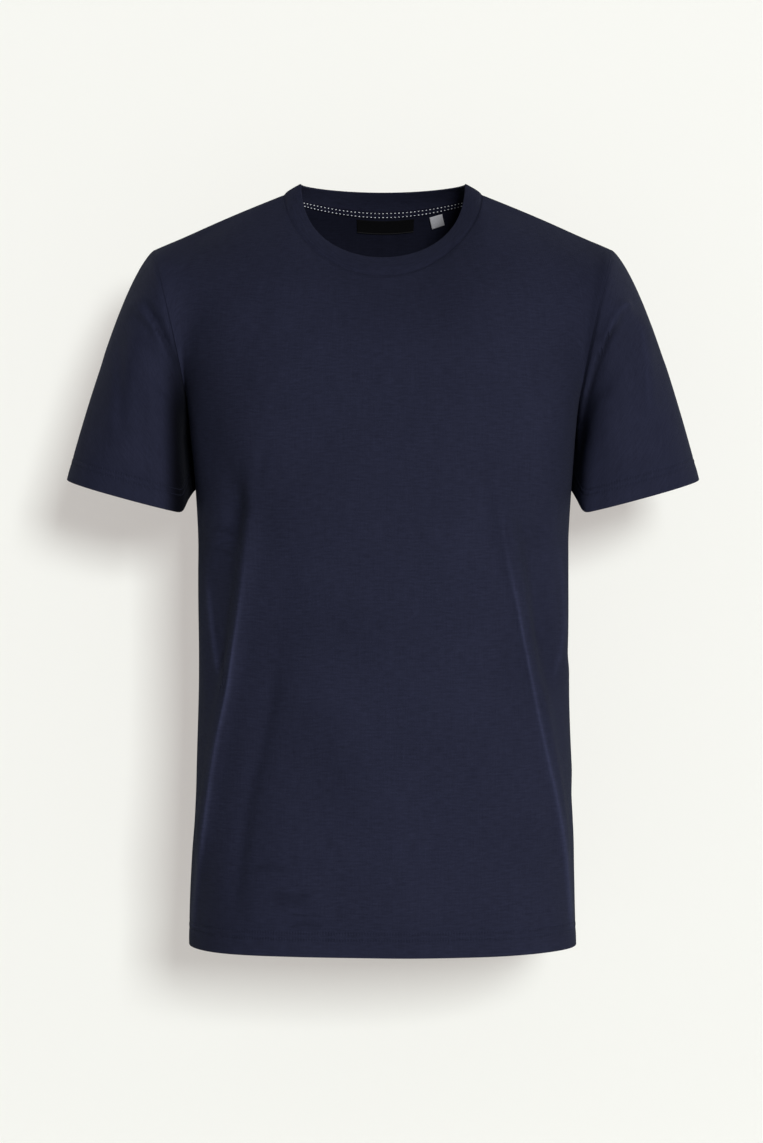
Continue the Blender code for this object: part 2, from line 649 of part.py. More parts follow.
def build():
    clear_scene()
    jersey = add_material("navy_jersey", (0.018, 0.021, 0.040), 0.85)
    rib = add_material("navy_rib", (0.020, 0.023, 0.043), 0.88)
    satin = add_material("black_satin", (0.008, 0.008, 0.009), 0.45)
    silver = add_material("silver_satin", (0.42, 0.42, 0.45), 0.55)

    front_base, back_base = panel_grid(FRONT), panel_grid(BACK)
    front = folded(FRONT, front_base, normals_of(front_base, False, 1))
    back = folded(BACK, back_base, normals_of(back_base, False, -1))
    names, sides, edges = ("sleeve_right", "sleeve_left"), (-1, 1), (0, -1)
    armholes = [armhole_loop(front, back, edge) for edge in edges]
    sleeves = [sleeve_grid(*args) for args in zip(names, armholes, sides)]
    collar = collar_grid(neckline_loop(front, back))

    front_normals = normals_of(front, False, 1)
    back_normals = normals_of(back, False, -1)
    sleeve_normals = [normals_of(grid, True, -side) for grid, side in zip(sleeves, sides)]
    collar_normals = normals_of(collar, True, 1)
    share_normals(front_normals, back_normals, sleeve_normals, collar_normals, armholes)

    front = open_panel_seams(FRONT, front, front_normals)
    back = open_panel_seams(BACK, back, back_normals)
    panel_wall = wall_thickness(len(front), [0, 1])
    front_inside = front - front_normals * panel_wall
    back_inside = back - back_normals * panel_wall
    add_wall("front", front, front_inside, False, jersey)
    add_wall("back", back, back_inside, False, jersey)
    for name, side, grid, normals in zip(names, sides, sleeves, sleeve_normals):
        grid = open_first_ring(grid, normals, -side)
        add_wall(name, grid, grid - normals * wall_thickness(len(grid), [-2, -1]), True, jersey)
    collar = open_first_ring(collar, collar_normals, 1)
    add_wall("collar", collar, collar - collar_normals * COLLAR_WALL, True, rib)
    add_neck_trim(back_inside, back_normals, jersey, satin, silver)


build()
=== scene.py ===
"""A crew neck t-shirt with nobody in it: its cloth, seams, stitches and neck trim, and a plain studio.

Metres, +Z up. The front faces -Y and the wearer's left is +X. The origin lies between the shoulders.

Each panel is a coarse net of points that is drawn out into a fine one along smooth curves. Folds, hems and
seams are then moved into the fine net, and the wall of cloth lies between it and a second net inside it.
"""

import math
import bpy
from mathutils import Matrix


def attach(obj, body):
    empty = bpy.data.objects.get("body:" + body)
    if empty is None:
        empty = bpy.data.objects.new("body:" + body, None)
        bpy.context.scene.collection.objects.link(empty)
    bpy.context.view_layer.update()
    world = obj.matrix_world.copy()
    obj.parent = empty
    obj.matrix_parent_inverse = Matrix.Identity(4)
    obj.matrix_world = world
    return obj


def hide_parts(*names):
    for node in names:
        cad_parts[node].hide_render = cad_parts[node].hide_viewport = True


bl_info = {
    "name": "Crew neck t-shirt",
    "version": (1, 0, 0),
    "blender": (4, 5, 0),
    "location": "3D View > Sidebar > T-shirt",
    "description": "Builds the cloth, seams, stitches and neck trim of a hollow crew neck t-shirt",
    "category": "Object",
}

from collections import namedtuple
from functools import lru_cache

import bpy
import numpy as np
from bpy.props import FloatProperty, FloatVectorProperty, PointerProperty
from mathutils import Vector

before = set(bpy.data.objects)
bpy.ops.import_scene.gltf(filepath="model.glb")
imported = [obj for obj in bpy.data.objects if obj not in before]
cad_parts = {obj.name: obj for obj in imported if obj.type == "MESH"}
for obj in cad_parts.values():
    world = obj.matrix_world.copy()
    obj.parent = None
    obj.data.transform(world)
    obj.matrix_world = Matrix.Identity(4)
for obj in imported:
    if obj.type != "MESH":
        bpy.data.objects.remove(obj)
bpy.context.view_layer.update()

MM = 0.001


def by_cloth(kind, **tables):
    """Rows of one kind, by the name of the cloth that they are on."""
    return {cloth: [kind(*row) for row in rows] for cloth, rows in tables.items()}


# ---------------------------------------------------------------- seams and edges
SEAM_GAP = 0.02 * MM  # between two pieces that are sewn together
SEAM_DIP = 0.75 * MM  # how deep the cloth rolls into a seam
SEAM_DIP_REACH = 2.2 * MM
ARMHOLE_DIP = 1.9 * MM  # on the sleeve, whose cloth lies lower than the panels'
ARMHOLE_DIP_REACH = 3.0 * MM
TOP_DIP = 0.25  # share of that dip at the shoulder tip
NECK_DIP = 0.85 * MM
LEAST_WALL = 0.42  # share of the wall that is left in a seam
NORMAL_REACH = 7 * MM  # how far from a seam the two pieces take to face the same way
STILL_REACH = 14 * MM  # folds and ripples fade away this close to a seam
EDGE_ROUND = 0.9 * MM  # rounding of the hem, the cuffs and the rim
TURN_UP = 23.0 * MM  # height of the doubled cloth
NEEDLE_ROWS = (16.0 * MM, 22.0 * MM)  # twin rows of stitches above the hem
CUFF_NEEDLE_ROWS = (16.5 * MM, 22.0 * MM)
NEEDLE_DIP = 0.26 * MM
NEEDLE_REACH = 1.1 * MM
HEM_PUFF = 0.22 * MM  # how far the hem puffs up between its rows of stitches
PUFF_SHARES = (3.4, 2.6)  # between the rows and below them, how many times narrower than the strip a puff is
EDGE_LEFT = 0.3  # share of the wall's thickness that is left at its very edge
INNER_DIP, INNER_RELIEF = 0.3, 0.5  # shares of the dips and of the hem's relief that the inner face follows
SHARP_ANGLE = math.radians(55)  # faces that meet more sharply are shaded apart

# ---------------------------------------------------------------- coarse nets
HEM_STRIP = 20 * MM  # first strip of the body's and the sleeves' nets
SHOULDER_COLUMNS = 12  # panel columns that end on each shoulder seam
NECK_COLUMNS = 16  # panel columns that end on the neckline
NECK_SHARE = 0.42  # share of the panel's half width that those in the middle take at the underarm
BODY_ROWS = 17  # from the hem to the underarm
YOKE_ROWS = 11  # from the underarm to the shoulder seam
SLEEVE_RINGS = 8
ARC_STEPS, SLEEVE_CURVE_STEPS = 240, 120  # points on the curves that the nets are read from
CORNER_SPREAD = 3  # strips over which a sharp corner fades

# The outline of the body in mm, from the hem to the underarm.
Ring = namedtuple("Ring", "height half_width front_depth back_depth squareness")
BODY_RINGS = (
    Ring(-722, 186.5, 127, 117, 3.1),
    Ring(-645, 184.2, 125, 114, 2.8),
    Ring(-567, 181.2, 123, 110, 2.7),
    Ring(-470, 178.3, 122, 105, 2.6),
    Ring(-390, 178.2, 123, 103, 2.5),
    Ring(-334, 179.0, 126, 105, 2.5),
    Ring(-284, 182.0, 128, 109, 2.6),
    Ring(-225, 187.0, 127, 112, 2.8),
)
HEM_DIP = 2.5 * MM  # how much lower the hem hangs at the middle of each panel
HEM_DIP_HEIGHT = 250 * MM

SHOULDER_TIP = (222.2 * MM, 0.0, -53.5 * MM)
NECK_POINT = (96.6 * MM, 0.0, 1.6 * MM)
SHOULDER_BULGE = 1.6 * MM
TIP_LIFT = 1.5 * MM  # rounds off the shoulder where the sleeve begins
TIP_REACH = 24 * MM
TIP_SCALE = np.array((1, 0.5, 1))  # it reaches farther from front to back
# Sizes in mm. From armhole_low on they are pulls (across, out, up) of the curves that leave the underarm and
# arrive at these places; rise is the pull of the middle ones there, as a share of their length.
Panel = namedtuple(
    "Panel",
    "name facing neck_drop neck_depth neck_curve armhole_low armhole_top neck_point neck_middle rise",
)
FRONT = Panel("front", -1, 85.4, 75, 1.17, (0, 82, 50), (9, -102, 21), (0, -75, 64), (0, -24, 38), 0.42)
BACK = Panel("back", 1, 9.5, 60, 3.0, (0, 90, 54), (6, -108, 18), (0, -86, 32), (0, -32, 33), 0.40)
ARMHOLE_SPREAD = 0.62  # share of the half width beyond which a column leans to the armhole
EVEN_ROUNDS, EVEN_BELOW = 5, 3  # how often the yoke's net is evened out, and rows below it that join in

CUFF_MIDDLE = (244.4 * MM, -2 * MM, -296 * MM)
CUFF_HALF_WIDTH = 64 * MM
CUFF_HALF_DEPTH = 60 * MM
CUFF_SQUARENESS = 2.4
CUFF_TILT = math.radians(15.2)
CUFF_BACK_RISE = 8 * MM
SLEEVES = {"sleeve_right": -1, "sleeve_left": 1}  # and the side that each is on
SleeveLine = namedtuple("SleeveLine", "pull_across pull_out pull_up cuff_pull")  # in mm
SLEEVE_OUTER = SleeveLine(30, 0, -27, 72)
SLEEVE_FRONT = SleeveLine(24, -4, -34, 52)
SLEEVE_INNER = SleeveLine(1.5, 0, -20, 20)
SLEEVE_BACK = SleeveLine(24, 4, -34, 52)

COLLAR_HALF_WIDTH = 79.8 * MM
COLLAR_SIDE_HEIGHT = 12.0 * MM
Rim = namedtuple("Rim", "y z curve")
COLLAR_FRONT = Rim(-64 * MM, -65.7 * MM, 0.75)
COLLAR_BACK = Rim(54 * MM, 10.1 * MM, 2.4)
COLLAR_SIDE_ROUNDING = 0.15
COLLAR_ROLL = 1.0 * MM

TAPE_TOP = 0.6 * MM
TAPE_WIDTH = 7 * MM
TAPE_DASHES = (2.0 * MM, 6.2 * MM)  # the two rows of stitches, below the neck seam
TAPE_WALL = 0.8 * MM
TAPE_INSET = 0.3  # columns that the tape ends short of the neckline's ends
LABEL_MIDDLE = 2.4 * MM
LABEL_SIZE = (57 * MM, 14 * MM)
LABEL_DROP = 10.2 * MM
LABEL_WALL = 0.6 * MM
LABEL_HANG = 0.9 * MM  # how far its lower edge stands off the cloth
TAB_TOP_CORNER = (46.2 * MM, 11.3 * MM)
TAB_SIZE = (12.6 * MM, 14.6 * MM)
TAB_TILT = math.radians(14)
TAB_SEAM_TILT = math.radians(9)
TAB_LIFT = 0.6 * MM
TAB_WALL = 0.9 * MM
TAB_BULGE = 0.5 * MM
TRIM_SEAT = 0.25 * MM  # how far the tape and the label lie off the back panel
TAPE_EDGE, LABEL_EDGE, TAB_EDGE = 0.9 * MM, 0.5 * MM, 0.6 * MM  # rounding of their edges
TRIM_EDGE_LEFT = 0.35
TRIM_ENDS = (0.012, 0.03, 0.06)  # shares of the width at which the first steps from an edge lie
TAPE_STEPS, LABEL_STEPS, TAB_STEPS = (8, 90), (10, 30), 8
TRIM_ROW = -8  # the panel's row along which the label and the tab are measured

# ---------------------------------------------------------------- folds shared with the solids
# In mm. across runs along the panel from its middle, and bow is how far the middle of a fold bends aside.
Fold = namedtuple("Fold", "across_1 height_1 across_2 height_2 bow depth breadth")
FOLDS = by_cloth(
    Fold,
    front=(
        (-112, -225, -214, -722, 6, 3.4, 13),
        (-140, -250, -176, -500, 4, -5.0, 17),
        (-218, -320, -190, -500, -3, 1.5, 16),
        (108, -245, 214, -722, -6, 3.4, 13),
        (152, -280, 172, -490, -2, -5.0, 17),
        (218, -310, 190, -490, 3, 1.4, 16),
        (-86, -300, -160, -722, 6, -1.8, 20),
    ),
    back=(
        (-150, -250, -95, -560, -5, -5.0, 18),
        (150, -250, 95, -560, 5, -5.0, 18),
        (-190, -300, -215, -690, 5, 4.0, 16),
        (190, -320, 215, -700, -5, 4.0, 16),
        (0, -330, 10, -650, 4, 2.5, 30),
    ),
)
FOLD_FADE = 0.22  # share of a fold's length over which it fades at each end
# round is in degrees from the top over the front, along and breadth in shares, and depth in mm.
SleeveFold = namedtuple("SleeveFold", "round_1 along_1 round_2 along_2 depth breadth")
SLEEVE_FOLDS = by_cloth(
    SleeveFold,
    sleeve_right=(
        (45, 0.16, 118, 0.3, -3.5, 0.1),
        (300, 0.2, 235, 0.32, -3.5, 0.1),
        (20, 0.42, 60, 0.86, -1.6, 0.07),
        (60, 0.52, 96, 0.9, 1.2, 0.06),
        (330, 0.4, 300, 0.84, -1.8, 0.07),
    ),
    sleeve_left=(
        (38, 0.22, 118, 0.3, -4.5, 0.1),
        (305, 0.18, 238, 0.3, -3.5, 0.1),
        (62, 0.3, 92, 0.86, -2.2, 0.07),
        (26, 0.44, 44, 0.84, 1.4, 0.06),
        (322, 0.46, 290, 0.88, 1.6, 0.07),
    ),
)
# Round a sleeve, in degrees: how far its inner side is tucked away from the body (above 0) or swells towards
# it, and how far the cuff's edge rises there.
SLEEVE_TUCK = (
    (0, 0), (138, 0), (144, 0.4), (150, 1.6), (156, 3), (162, 4), (168, 4.5), (174, 4), (180, 3), (186, 1.5),
    (192, -1), (198, -3.4), (206, -7.5), (214, -5), (224, -1.4), (236, 0), (360, 0),
)
TUCK_SHARES = {"sleeve_right": 1.0, "sleeve_left": 0.8}
CUFF_RISE = (
    (0, 0), (138, 0), (144, 0.8), (150, 3.2), (156, 6.7), (162, 10), (168, 13.2), (174, 16), (180, 18.5),
    (186, 20.7), (192, 22.2), (198, 22.4), (206, 21.6), (214, 20.5), (232, 8), (246, 0), (360, 0),
)
TUCK_REACH = 34 * MM
TUCK_SMOOTHING = 3

# ---------------------------------------------------------------- finer creases
# A crease runs through points (x, z) in mm as they are seen straight from the front or the back. depth is
# above 0 for a ridge and below 0 for a trough. breadth_1 is how broad it is on its -X side, or its upper side
# where it runs across, and breadth_2 how broad on the other.
Crease = namedtuple("Crease", "depth breadth_1 breadth_2 points")
CREASES = by_cloth(
    Crease,
    front=(
        (3.2, 12, 7, ((-118, -270), (-124, -298), (-129, -354), (-133, -387), (-141, -448), (-147, -481))),
        (2.4, 9, 6, ((-134, -417), (-141, -448), (-147, -481), (-157, -543), (-168, -608), (-178, -655))),
        (-3.6, 8, 12, ((-128, -279), (-142, -316), (-156, -354), (-162, -392), (-162, -430), (-159, -467))),
        (1.6, 5, 7, ((-169, -330), (-170, -373), (-168, -416), (-162, -453), (-154, -486))),
        (-2.1, 9, 8, ((-95, -429), (-103, -471), (-110, -504), (-118, -541), (-128, -579), (-134, -621),
            (-138, -667), (-140, -705))),
        (-1.4, 7, 7, ((-109, -242), (-117, -279), (-125, -316))),
        (2.8, 7, 10, ((101, -251), (105, -281), (114, -344), (123, -387), (131, -421), (146, -483))),
        (2.4, 6, 9, ((131, -421), (138, -457), (146, -483), (157, -543), (169, -604), (176, -652))),
        (-2.8, 11, 7, ((121, -270), (133, -326), (143, -368), (150, -410), (157, -453))),
        (1.7, 10, 10, ((178, -440), (178, -480), (179, -530), (180, -585))),
        (0.6, 7, 5, ((166, -311), (174, -354), (175, -402), (169, -449), (159, -477))),
        (-1.0, 12, 12, ((96, -420), (110, -510), (128, -590), (140, -690))),
        (1.6, 4, 4, ((-134, -626), (-101, -628), (-59, -624))),
        (-1.6, 4, 4, ((-128, -640), (-96, -635), (-50, -641))),
        (1.6, 4, 4, ((-138, -652), (-100, -644), (-53, -650))),
        (1.5, 4, 4, ((-134, -666), (-94, -661), (-49, -668))),
        (1.6, 4, 4, ((-142, -684), (-92, -678), (-42, -684))),
        (-0.8, 5, 5, ((-166, -322), (-150, -326), (-132, -334))),
        (0.8, 5, 5, ((-170, -335), (-151, -340), (-134, -346))),
        (-0.8, 5, 5, ((128, -319), (142, -325), (154, -328))),
        (0.8, 5, 5, ((128, -331), (140, -339), (155, -342))),
        (0.9, 12, 14, ((-40, -130), (-80, -165), (-128, -200))),
        (0.9, 12, 14, ((44, -132), (86, -168), (126, -196))),
        (-0.8, 14, 12, ((-100, -88), (-124, -140), (-140, -200))),
        (-0.8, 14, 12, ((104, -90), (126, -138), (142, -196))),
    ),
    back=(
        (2.8, 3.5, 11, ((-128, -300), (-140, -380), (-152, -470), (-166, -560), (-176, -650), (-180, -716))),
        (2.8, 11, 3.5, ((124, -290), (138, -376), (152, -480), (164, -566), (174, -640), (182, -716))),
        (-1.6, 9, 9, ((-118, -330), (-120, -420), (-104, -520), (-86, -600))),
        (-1.6, 9, 9, ((116, -322), (122, -430), (108, -528), (92, -610))),
        (1.2, 10, 12, ((-60, -420), (-44, -520), (-52, -620), (-60, -712))),
        (1.2, 12, 10, ((66, -440), (50, -530), (56, -640), (64, -714))),
        (1.0, 14, 12, ((-60, -60), (-96, -120), (-138, -180))),
        (1.0, 14, 12, ((58, -62), (98, -124), (136, -184))),
        (-0.8, 5, 5, ((-150, -336), (-126, -344), (-96, -340))),
        (0.8, 5, 5, ((96, -352), (126, -358), (152, -348))),
        (0.5, 6, 6, ((-120, -672), (-70, -680), (-20, -674))),
        (0.5, 6, 6, ((30, -690), (80, -683), (130, -692))),
    ),
    sleeve_right=(
        (-4.5, 3.5, 6, ((-232, -104), (-218, -124), (-205, -144), (-197, -166))),
        (1.0, 4, 4, ((-246, -105), (-234, -114), (-223, -125))),
        (-1.0, 4, 4, ((-242, -122), (-230, -129), (-219, -141))),
        (-2.0, 6, 7, ((-254, -124), (-252, -181), (-249, -245))),
        (1.2, 6, 7, ((-223, -153), (-220, -210), (-216, -267))),
    ),
    sleeve_left=(
        (-3.0, 5, 7, ((221, -130), (213, -149), (205, -170), (196, -201), (190, -231), (187, -262))),
        (3.6, 6, 5, ((240, -109), (228, -115), (218, -132), (210, -155))),
        (2.8, 5, 7, ((250, -116), (253, -148), (255, -186), (255, -229))),
        (-1.2, 6, 6, ((236, -134), (239, -172), (240, -220))),
    ),
    sleeve_right_back=(
        (-2.4, 5, 5, ((-228, -112), (-214, -134), (-203, -160))),
        (1.3, 6, 7, ((-244, -126), (-246, -180), (-240, -240))),
    ),
    sleeve_left_back=(
        (-2.4, 5, 5, ((224, -108), (212, -138), (202, -168))),
        (1.5, 5, 6, ((238, -118), (244, -176), (246, -232))),
    ),
)
CREASE_FADE = 0.2  # share of a crease's length over which it fades at each end

# The sharpest edges of folds (above 0) and the sharpest grooves (below 0), too narrow for the net of points:
# they are in the material, as bumps with a painted highlight along an edge and painted shade along a groove.
# fades are the shares of a line's length over which it fades at its two ends.
Line = namedtuple("Line", "strength fades points")
LINES = by_cloth(
    Line,
    front=(
        (1.6, (0.42, 0.06), ((-125, -302), (-131, -354), (-135, -391), (-141, -429), (-146, -467),
            (-154, -505), (-162, -545), (-170, -601), (-178, -659), (-183, -721))),
        (1.5, (0.34, 0.06), ((106, -288), (116, -349), (125, -389), (132, -427), (140, -467), (148, -506),
            (157, -546), (169, -600), (177, -658), (181, -720))),
        (1.1, (0.3, 0.25), ((-168, -363), (-167, -392), (-164, -420), (-160, -448), (-156, -468))),
        (0.6, (0.3, 0.3), ((165, -325), (172, -373), (173, -421), (166, -453), (160, -469))),
        (-0.4, (0.3, 0.3), ((-113, -664), (-87, -667), (-61, -663))),
        (-0.3, (0.3, 0.3), ((-109, -677), (-87, -674), (-64, -678))),
        (-0.35, (0.3, 0.3), ((-90, -695), (-74, -693), (-55, -695))),
        (-0.3, (0.3, 0.3), ((-128, -646), (-107, -641), (-85, -645))),
        (-0.35, (0.3, 0.3), ((-171, -322), (-152, -326), (-134, -333))),
        (-0.3, (0.3, 0.3), ((-166, -343), (-152, -346), (-138, -353))),
        (-0.15, (0.3, 0.3), ((129, -320), (142, -325), (156, -328))),
        (-0.15, (0.3, 0.3), ((128, -333), (141, -339), (156, -342))),
    ),
    back=(
        (0.9, (0.3, 0.1), ((-128, -300), (-140, -380), (-152, -470), (-166, -560), (-176, -650),
            (-180, -716))),
        (0.9, (0.3, 0.1), ((124, -290), (138, -376), (152, -480), (164, -566), (174, -640), (182, -716))),
    ),
    sleeve_right=(
        (-0.55, (0.4, 0.2), ((-230, -108), (-216, -129), (-207, -144), (-200, -158), (-193, -178))),
        (0.3, (0.3, 0.3), ((-238, -108), (-226, -122), (-217, -136), (-209, -151))),
    ),
    sleeve_left=(
        (-0.95, (0.4, 0.3), ((233, -118), (223, -131), (215, -143), (207, -160), (200, -181), (194, -210),
            (191, -239))),
        (0.45, (0.25, 0.3), ((243, -106), (230, -111), (220, -123), (212, -139), (207, -155))),
        (0.4, (0.3, 0.4), ((244, -120), (250, -143), (252, -181), (252, -225))),
    ),
)
LINE_WIDTH = 3.1  # mm
LINE_REACH = (6.5 * MM, 9.5 * MM)  # between these distances a line comes to its end sideways
LINE_HEIGHT = 1.6 * MM
LINE_PAINTED_LIGHT = 0.45  # how much paler the cloth is painted along a sharp edge (painted highlight), and darker along a groove (painted shade)
CREASE_STEPS = 26  # points of the smooth curve along a crease or a line

RIPPLE_SEED = 11
RIPPLE_WAVES = 14
RIPPLE_ACROSS = (70 * MM, 190 * MM)  # shortest and longest ripple, across the cloth
RIPPLE_UP = (140 * MM, 420 * MM)
HEM_SEED = 16
HEM_WAVES = 5
HEM_WAVE = 0.35 * MM  # how far the lower edge wanders
HEM_WAVE_REACH = 60 * MM

# ---------------------------------------------------------------- fine nets
ROW_UNIT = 16 * MM  # nominal height of a yoke row
FINE_HEM = (0, 0.12, 0.35, 0.75, 1.3, 2.5, 4.5, 7.5, 10.5, 13, 14.6, 15.4, 16, 16.6, 17.4, 18.8, 20.4, 21.3,
            22, 22.7, 23.2, 24.4, 27)
FINE_SEAM = (0, 0.04, 0.1, 0.18, 0.3, 0.45, 0.6, 0.8)  # places in a strip beside a seam
FINE_TOP = (0.18, 0.35, 0.55, 0.7, 0.82, 0.9, 0.96, 1)
BODY_STEP = 4.6 * MM
NET_SPLIT = 6  # fine strips in a coarse one
FACING_SPREAD, FACING_START = 0.4, 0.25  # where a sleeve's front creases fade towards its back
SLEEVE_SEAM_STEPS = (0, 0.6, 1.3, 2.2, 3.4, 5, 7)
SLEEVE_CUFF_STEPS = (27, 24.4, 23.2, 22.7, 22, 21.3, 20.2, 18.8, 17.5, 16.5, 15.5, 13.5, 10.5, 7.5, 4.5, 2.5,
                     1.3, 0.75, 0.35, 0.12, 0)
SLEEVE_MIDDLE_RINGS = 46
COLLAR_SHARES = (0, 0.03, 0.08, 0.15, 0.24, 0.34, 0.45, 0.56, 0.67, 0.77, 0.86, 0.92, 0.955, 0.975, 0.99, 1)

# ---------------------------------------------------------------- stitches
NECK_ROW_DROP = 3.6 * MM  # the row of stitches below the neck seam
STITCH_LIFT = 0.12 * MM
STITCH_SUNK = 0.6  # how deep a stitch's ends dip into the cloth, in radii of its thread
TAPE_STITCH = {"Length": 0.85 * MM, "Radius": 0.43 * MM, "Lift": 0.2 * MM}
STITCH_DEFAULTS = {
    "Pitch": 2.6 * MM, "Length": 2.1 * MM, "Radius": 0.2 * MM, "Lift": 0.2 * MM, "Jitter": 0.1, "Seed": 3
}
ARCH_STEPS, THREAD_SIDES = 4, 6  # pieces of a stitch along and round its thread

# ---------------------------------------------------------------- colours and finishes
INSIDE_PAINTED_SHADE = 0.4  # how much darker the inner faces of the cloth are: painted shade inside the hollow shirt
RIB_INSIDE_PAINTED_SHADE = 0.0  # no painted shade inside the rib: it is folded, so that its right side shows on both
# Painted shade (above 0) or painted light (below 0) on a sleeve in the narrow gap between it and the body: it
# is darker or paler there.
GAP_PAINTED_SHADES = {"sleeve_right": 0.9, "sleeve_left": -0.5}
GAP_TO = 212 * MM
GAP_REACH = 16 * MM
GAP_TOP, GAP_HEIGHT = -115 * MM, 110 * MM
BACK_PAINTED_SHADE = 0.3  # share of that on the back half of a sleeve
AHEAD_REACH = 24 * MM  # between the front and the back half
SIDE_PAINTED_LIGHT = -0.7  # painted light on the front beside the right sleeve: the cloth there is paler
SIDE_PAINTED_LIGHT_MIDDLE, SIDE_PAINTED_LIGHT_REACH = (-183 * MM, -250 * MM), (22 * MM, 48 * MM)
SPECULAR = 0.03  # cloth hardly mirrors
SHEEN_TINT = (0.62, 0.68, 0.86, 1)
SHEEN_ROUGHNESS = 0.45
STREAKS = {"Courses": 0.32, "Wales": 0.16}  # of the yarn, along the courses and down the wales
STREAK_SCALES = {"Courses": (90.0, 620.0, 0.0), "Wales": (900.0, 34.0, 0.0)}
DYE_NOISES = ((9.0, 3.0), (900.0, 2.0))  # scale and detail of the slow and the fine changes
FLECK_HEIGHT, SLUB_HEIGHT = 0.6, 3.0  # of the dye's flecks and the yarn's streaks, in heights of the knit
FLECK_ROUGHNESS = 0.12
PUCKER_BREADTH = 1.6  # mm
PUCKER_DEPTH = 0.35 * MM
# Width of a wale and height of a course in mm, and the relief in m.
JERSEY_WEAVE, RIB_WEAVE, TAPE_WEAVE = (0.62, 0.5, 0.05 * MM), (1.3, 0.6, 0.16 * MM), (1.0, 0.8, 0.12 * MM)
TAPE_ROUGHNESS, TAPE_SHEEN = 0.85, 0.03
CLOTH_DYE = {"Unevenness": 0.22, "Fleck": 0.22}
SATIN_DYE = {"Unevenness": 0.1, "Fleck": 0.25}
THREAD_DYE = {"Unevenness": 0.1, "Fleck": 0.3}
# Colour, colour of the selvedge and roughness.
SATINS = {
    "black_satin": ((0.0035, 0.0035, 0.004), (0.035, 0.035, 0.038), 0.55),
    "silver_satin": ((0.46, 0.46, 0.49), (0.3, 0.3, 0.32), 0.5),
}
SATIN_WARP, SATIN_WEFT = 0.35 * MM, 0.245 * MM
SATIN_RELIEF, SATIN_SHEEN = 0.08 * MM, 0.02
SELVEDGE, SELVEDGE_SHARE = 1.3 * MM, 0.8  # its breadth, and how fully it takes its own colour
TWIST = {"Scale": 900.0, "Distortion": 2.0}
THREAD_ROUGHNESS, THREAD_SHEEN, THREAD_RELIEF = 0.6, 0.03, 0.05 * MM
PAPER_ROUGHNESS = 0.95

# ---------------------------------------------------------------- studio
FLOOR_HEIGHT, FLOOR_FRONT, HALF_WIDTH = -1.02, -4.0, 4.0
WALL_DEPTH = 0.165  # how far behind the shoulder seams the wall stands
WALL_TOP, BEND, BEND_STEPS = 3.0, 0.08, 17
GLOW_COLOUR = (1.0, 0.928, 0.883, 1)
CAMERA_PLACE, CAMERA_LENS, CAMERA_SENSOR = (-0.0015, -3.0, -0.3646), 97.32, 36
# A light's power is its share of a setting. All but the key light leave the floor and the wall alone.
Light = namedtuple("Light", "name place target size setting share shirt_only", defaults=(1, True))
LIGHTS = (
    Light("key", (3.06, -12.0, 2.3), (0, 0, -0.36), (3.2, 2.7), "key", shirt_only=False),
    Light("rim_right", (0.95, 0.5, 0.45), (0.2, 0, -0.15), (0.3, 0.6), "side"),
    Light("rim_right_low", (1.15, 0.42, -0.5), (0, -0.02, -0.5), (0.3, 0.9), "side", 0.6),
    Light("rim_left", (-0.95, 0.5, 0.45), (-0.2, 0, -0.15), (0.3, 0.6), "side"),
    Light("rim_left_low", (-1.15, 0.42, -0.5), (0, -0.02, -0.5), (0.3, 0.9), "side", 0.6),
    Light("low_front", (1.9, -2.9, -1.9), (0, -0.1, -0.45), (1.4, 1.0), "low"),
)

PIECES = []  # every finished piece


# ================================================================ small helpers
def unit(vectors):
    """The same vectors, one unit long."""
    return vectors / np.linalg.norm(vectors, axis=-1, keepdims=True)


def eased(values):
    """Shares from 0 to 1 that are level at both of their ends."""
    share = np.clip(values, 0, 1)
    return share * share * (3 - 2 * share)


def spline_weights(knots, places):
    """Weights that turn values at the knots into values at the places, along a smooth curve."""
    knots, places = np.asarray(knots, float), np.asarray(places, float)
    count, span = len(knots), np.diff(knots)
    system, right = np.eye(count), np.zeros((count, count))
    for k in range(1, count - 1):
        system[k, k - 1 : k + 2] = span[k - 1], 2 * (span[k - 1] + span[k]), span[k]
        right[k, k - 1 : k + 2] = 6 / span[k - 1], -6 / span[k - 1] - 6 / span[k], 6 / span[k]
    bend = np.linalg.solve(system, right)
    low = np.clip(np.searchsorted(knots, places, side="right") - 1, 0, count - 2)
    step = span[low]
    b = (places - knots[low]) / step
    a = 1 - b
    weights = ((a**3 - a) * step**2 / 6)[:, None] * bend[low]
    weights += ((b**3 - b) * step**2 / 6)[:, None] * bend[low + 1]
    rows = np.arange(len(places))
    weights[rows, low] += a
    weights[rows, low + 1] += b
    return weights


def split_weights(knots, places, corners):
    """The same for a line that turns sharply at some of its knots."""
    weights = np.zeros((len(places), len(knots)))
    ends = [0, *corners, len(knots) - 1]
    for start, end in zip(ends[:-1], ends[1:]):
        inside = (places >= knots[start] - 1e-9) & (places <= knots[end] + 1e-9)
        weights[inside] = 0
        weights[np.ix_(inside, range(start, end + 1))] = spline_weights(
            knots[start : end + 1], places[inside]
        )
    return weights


def lengths_along(grid, axis):
    """How far each point of a net lies from the first one, measured along an axis of the net."""
    steps = np.linalg.norm(np.diff(grid, axis=axis), axis=2)
    shape = list(steps.shape)
    shape[axis] = 1
    return np.concatenate([np.zeros(shape), np.cumsum(steps, axis=axis)], axis=axis)


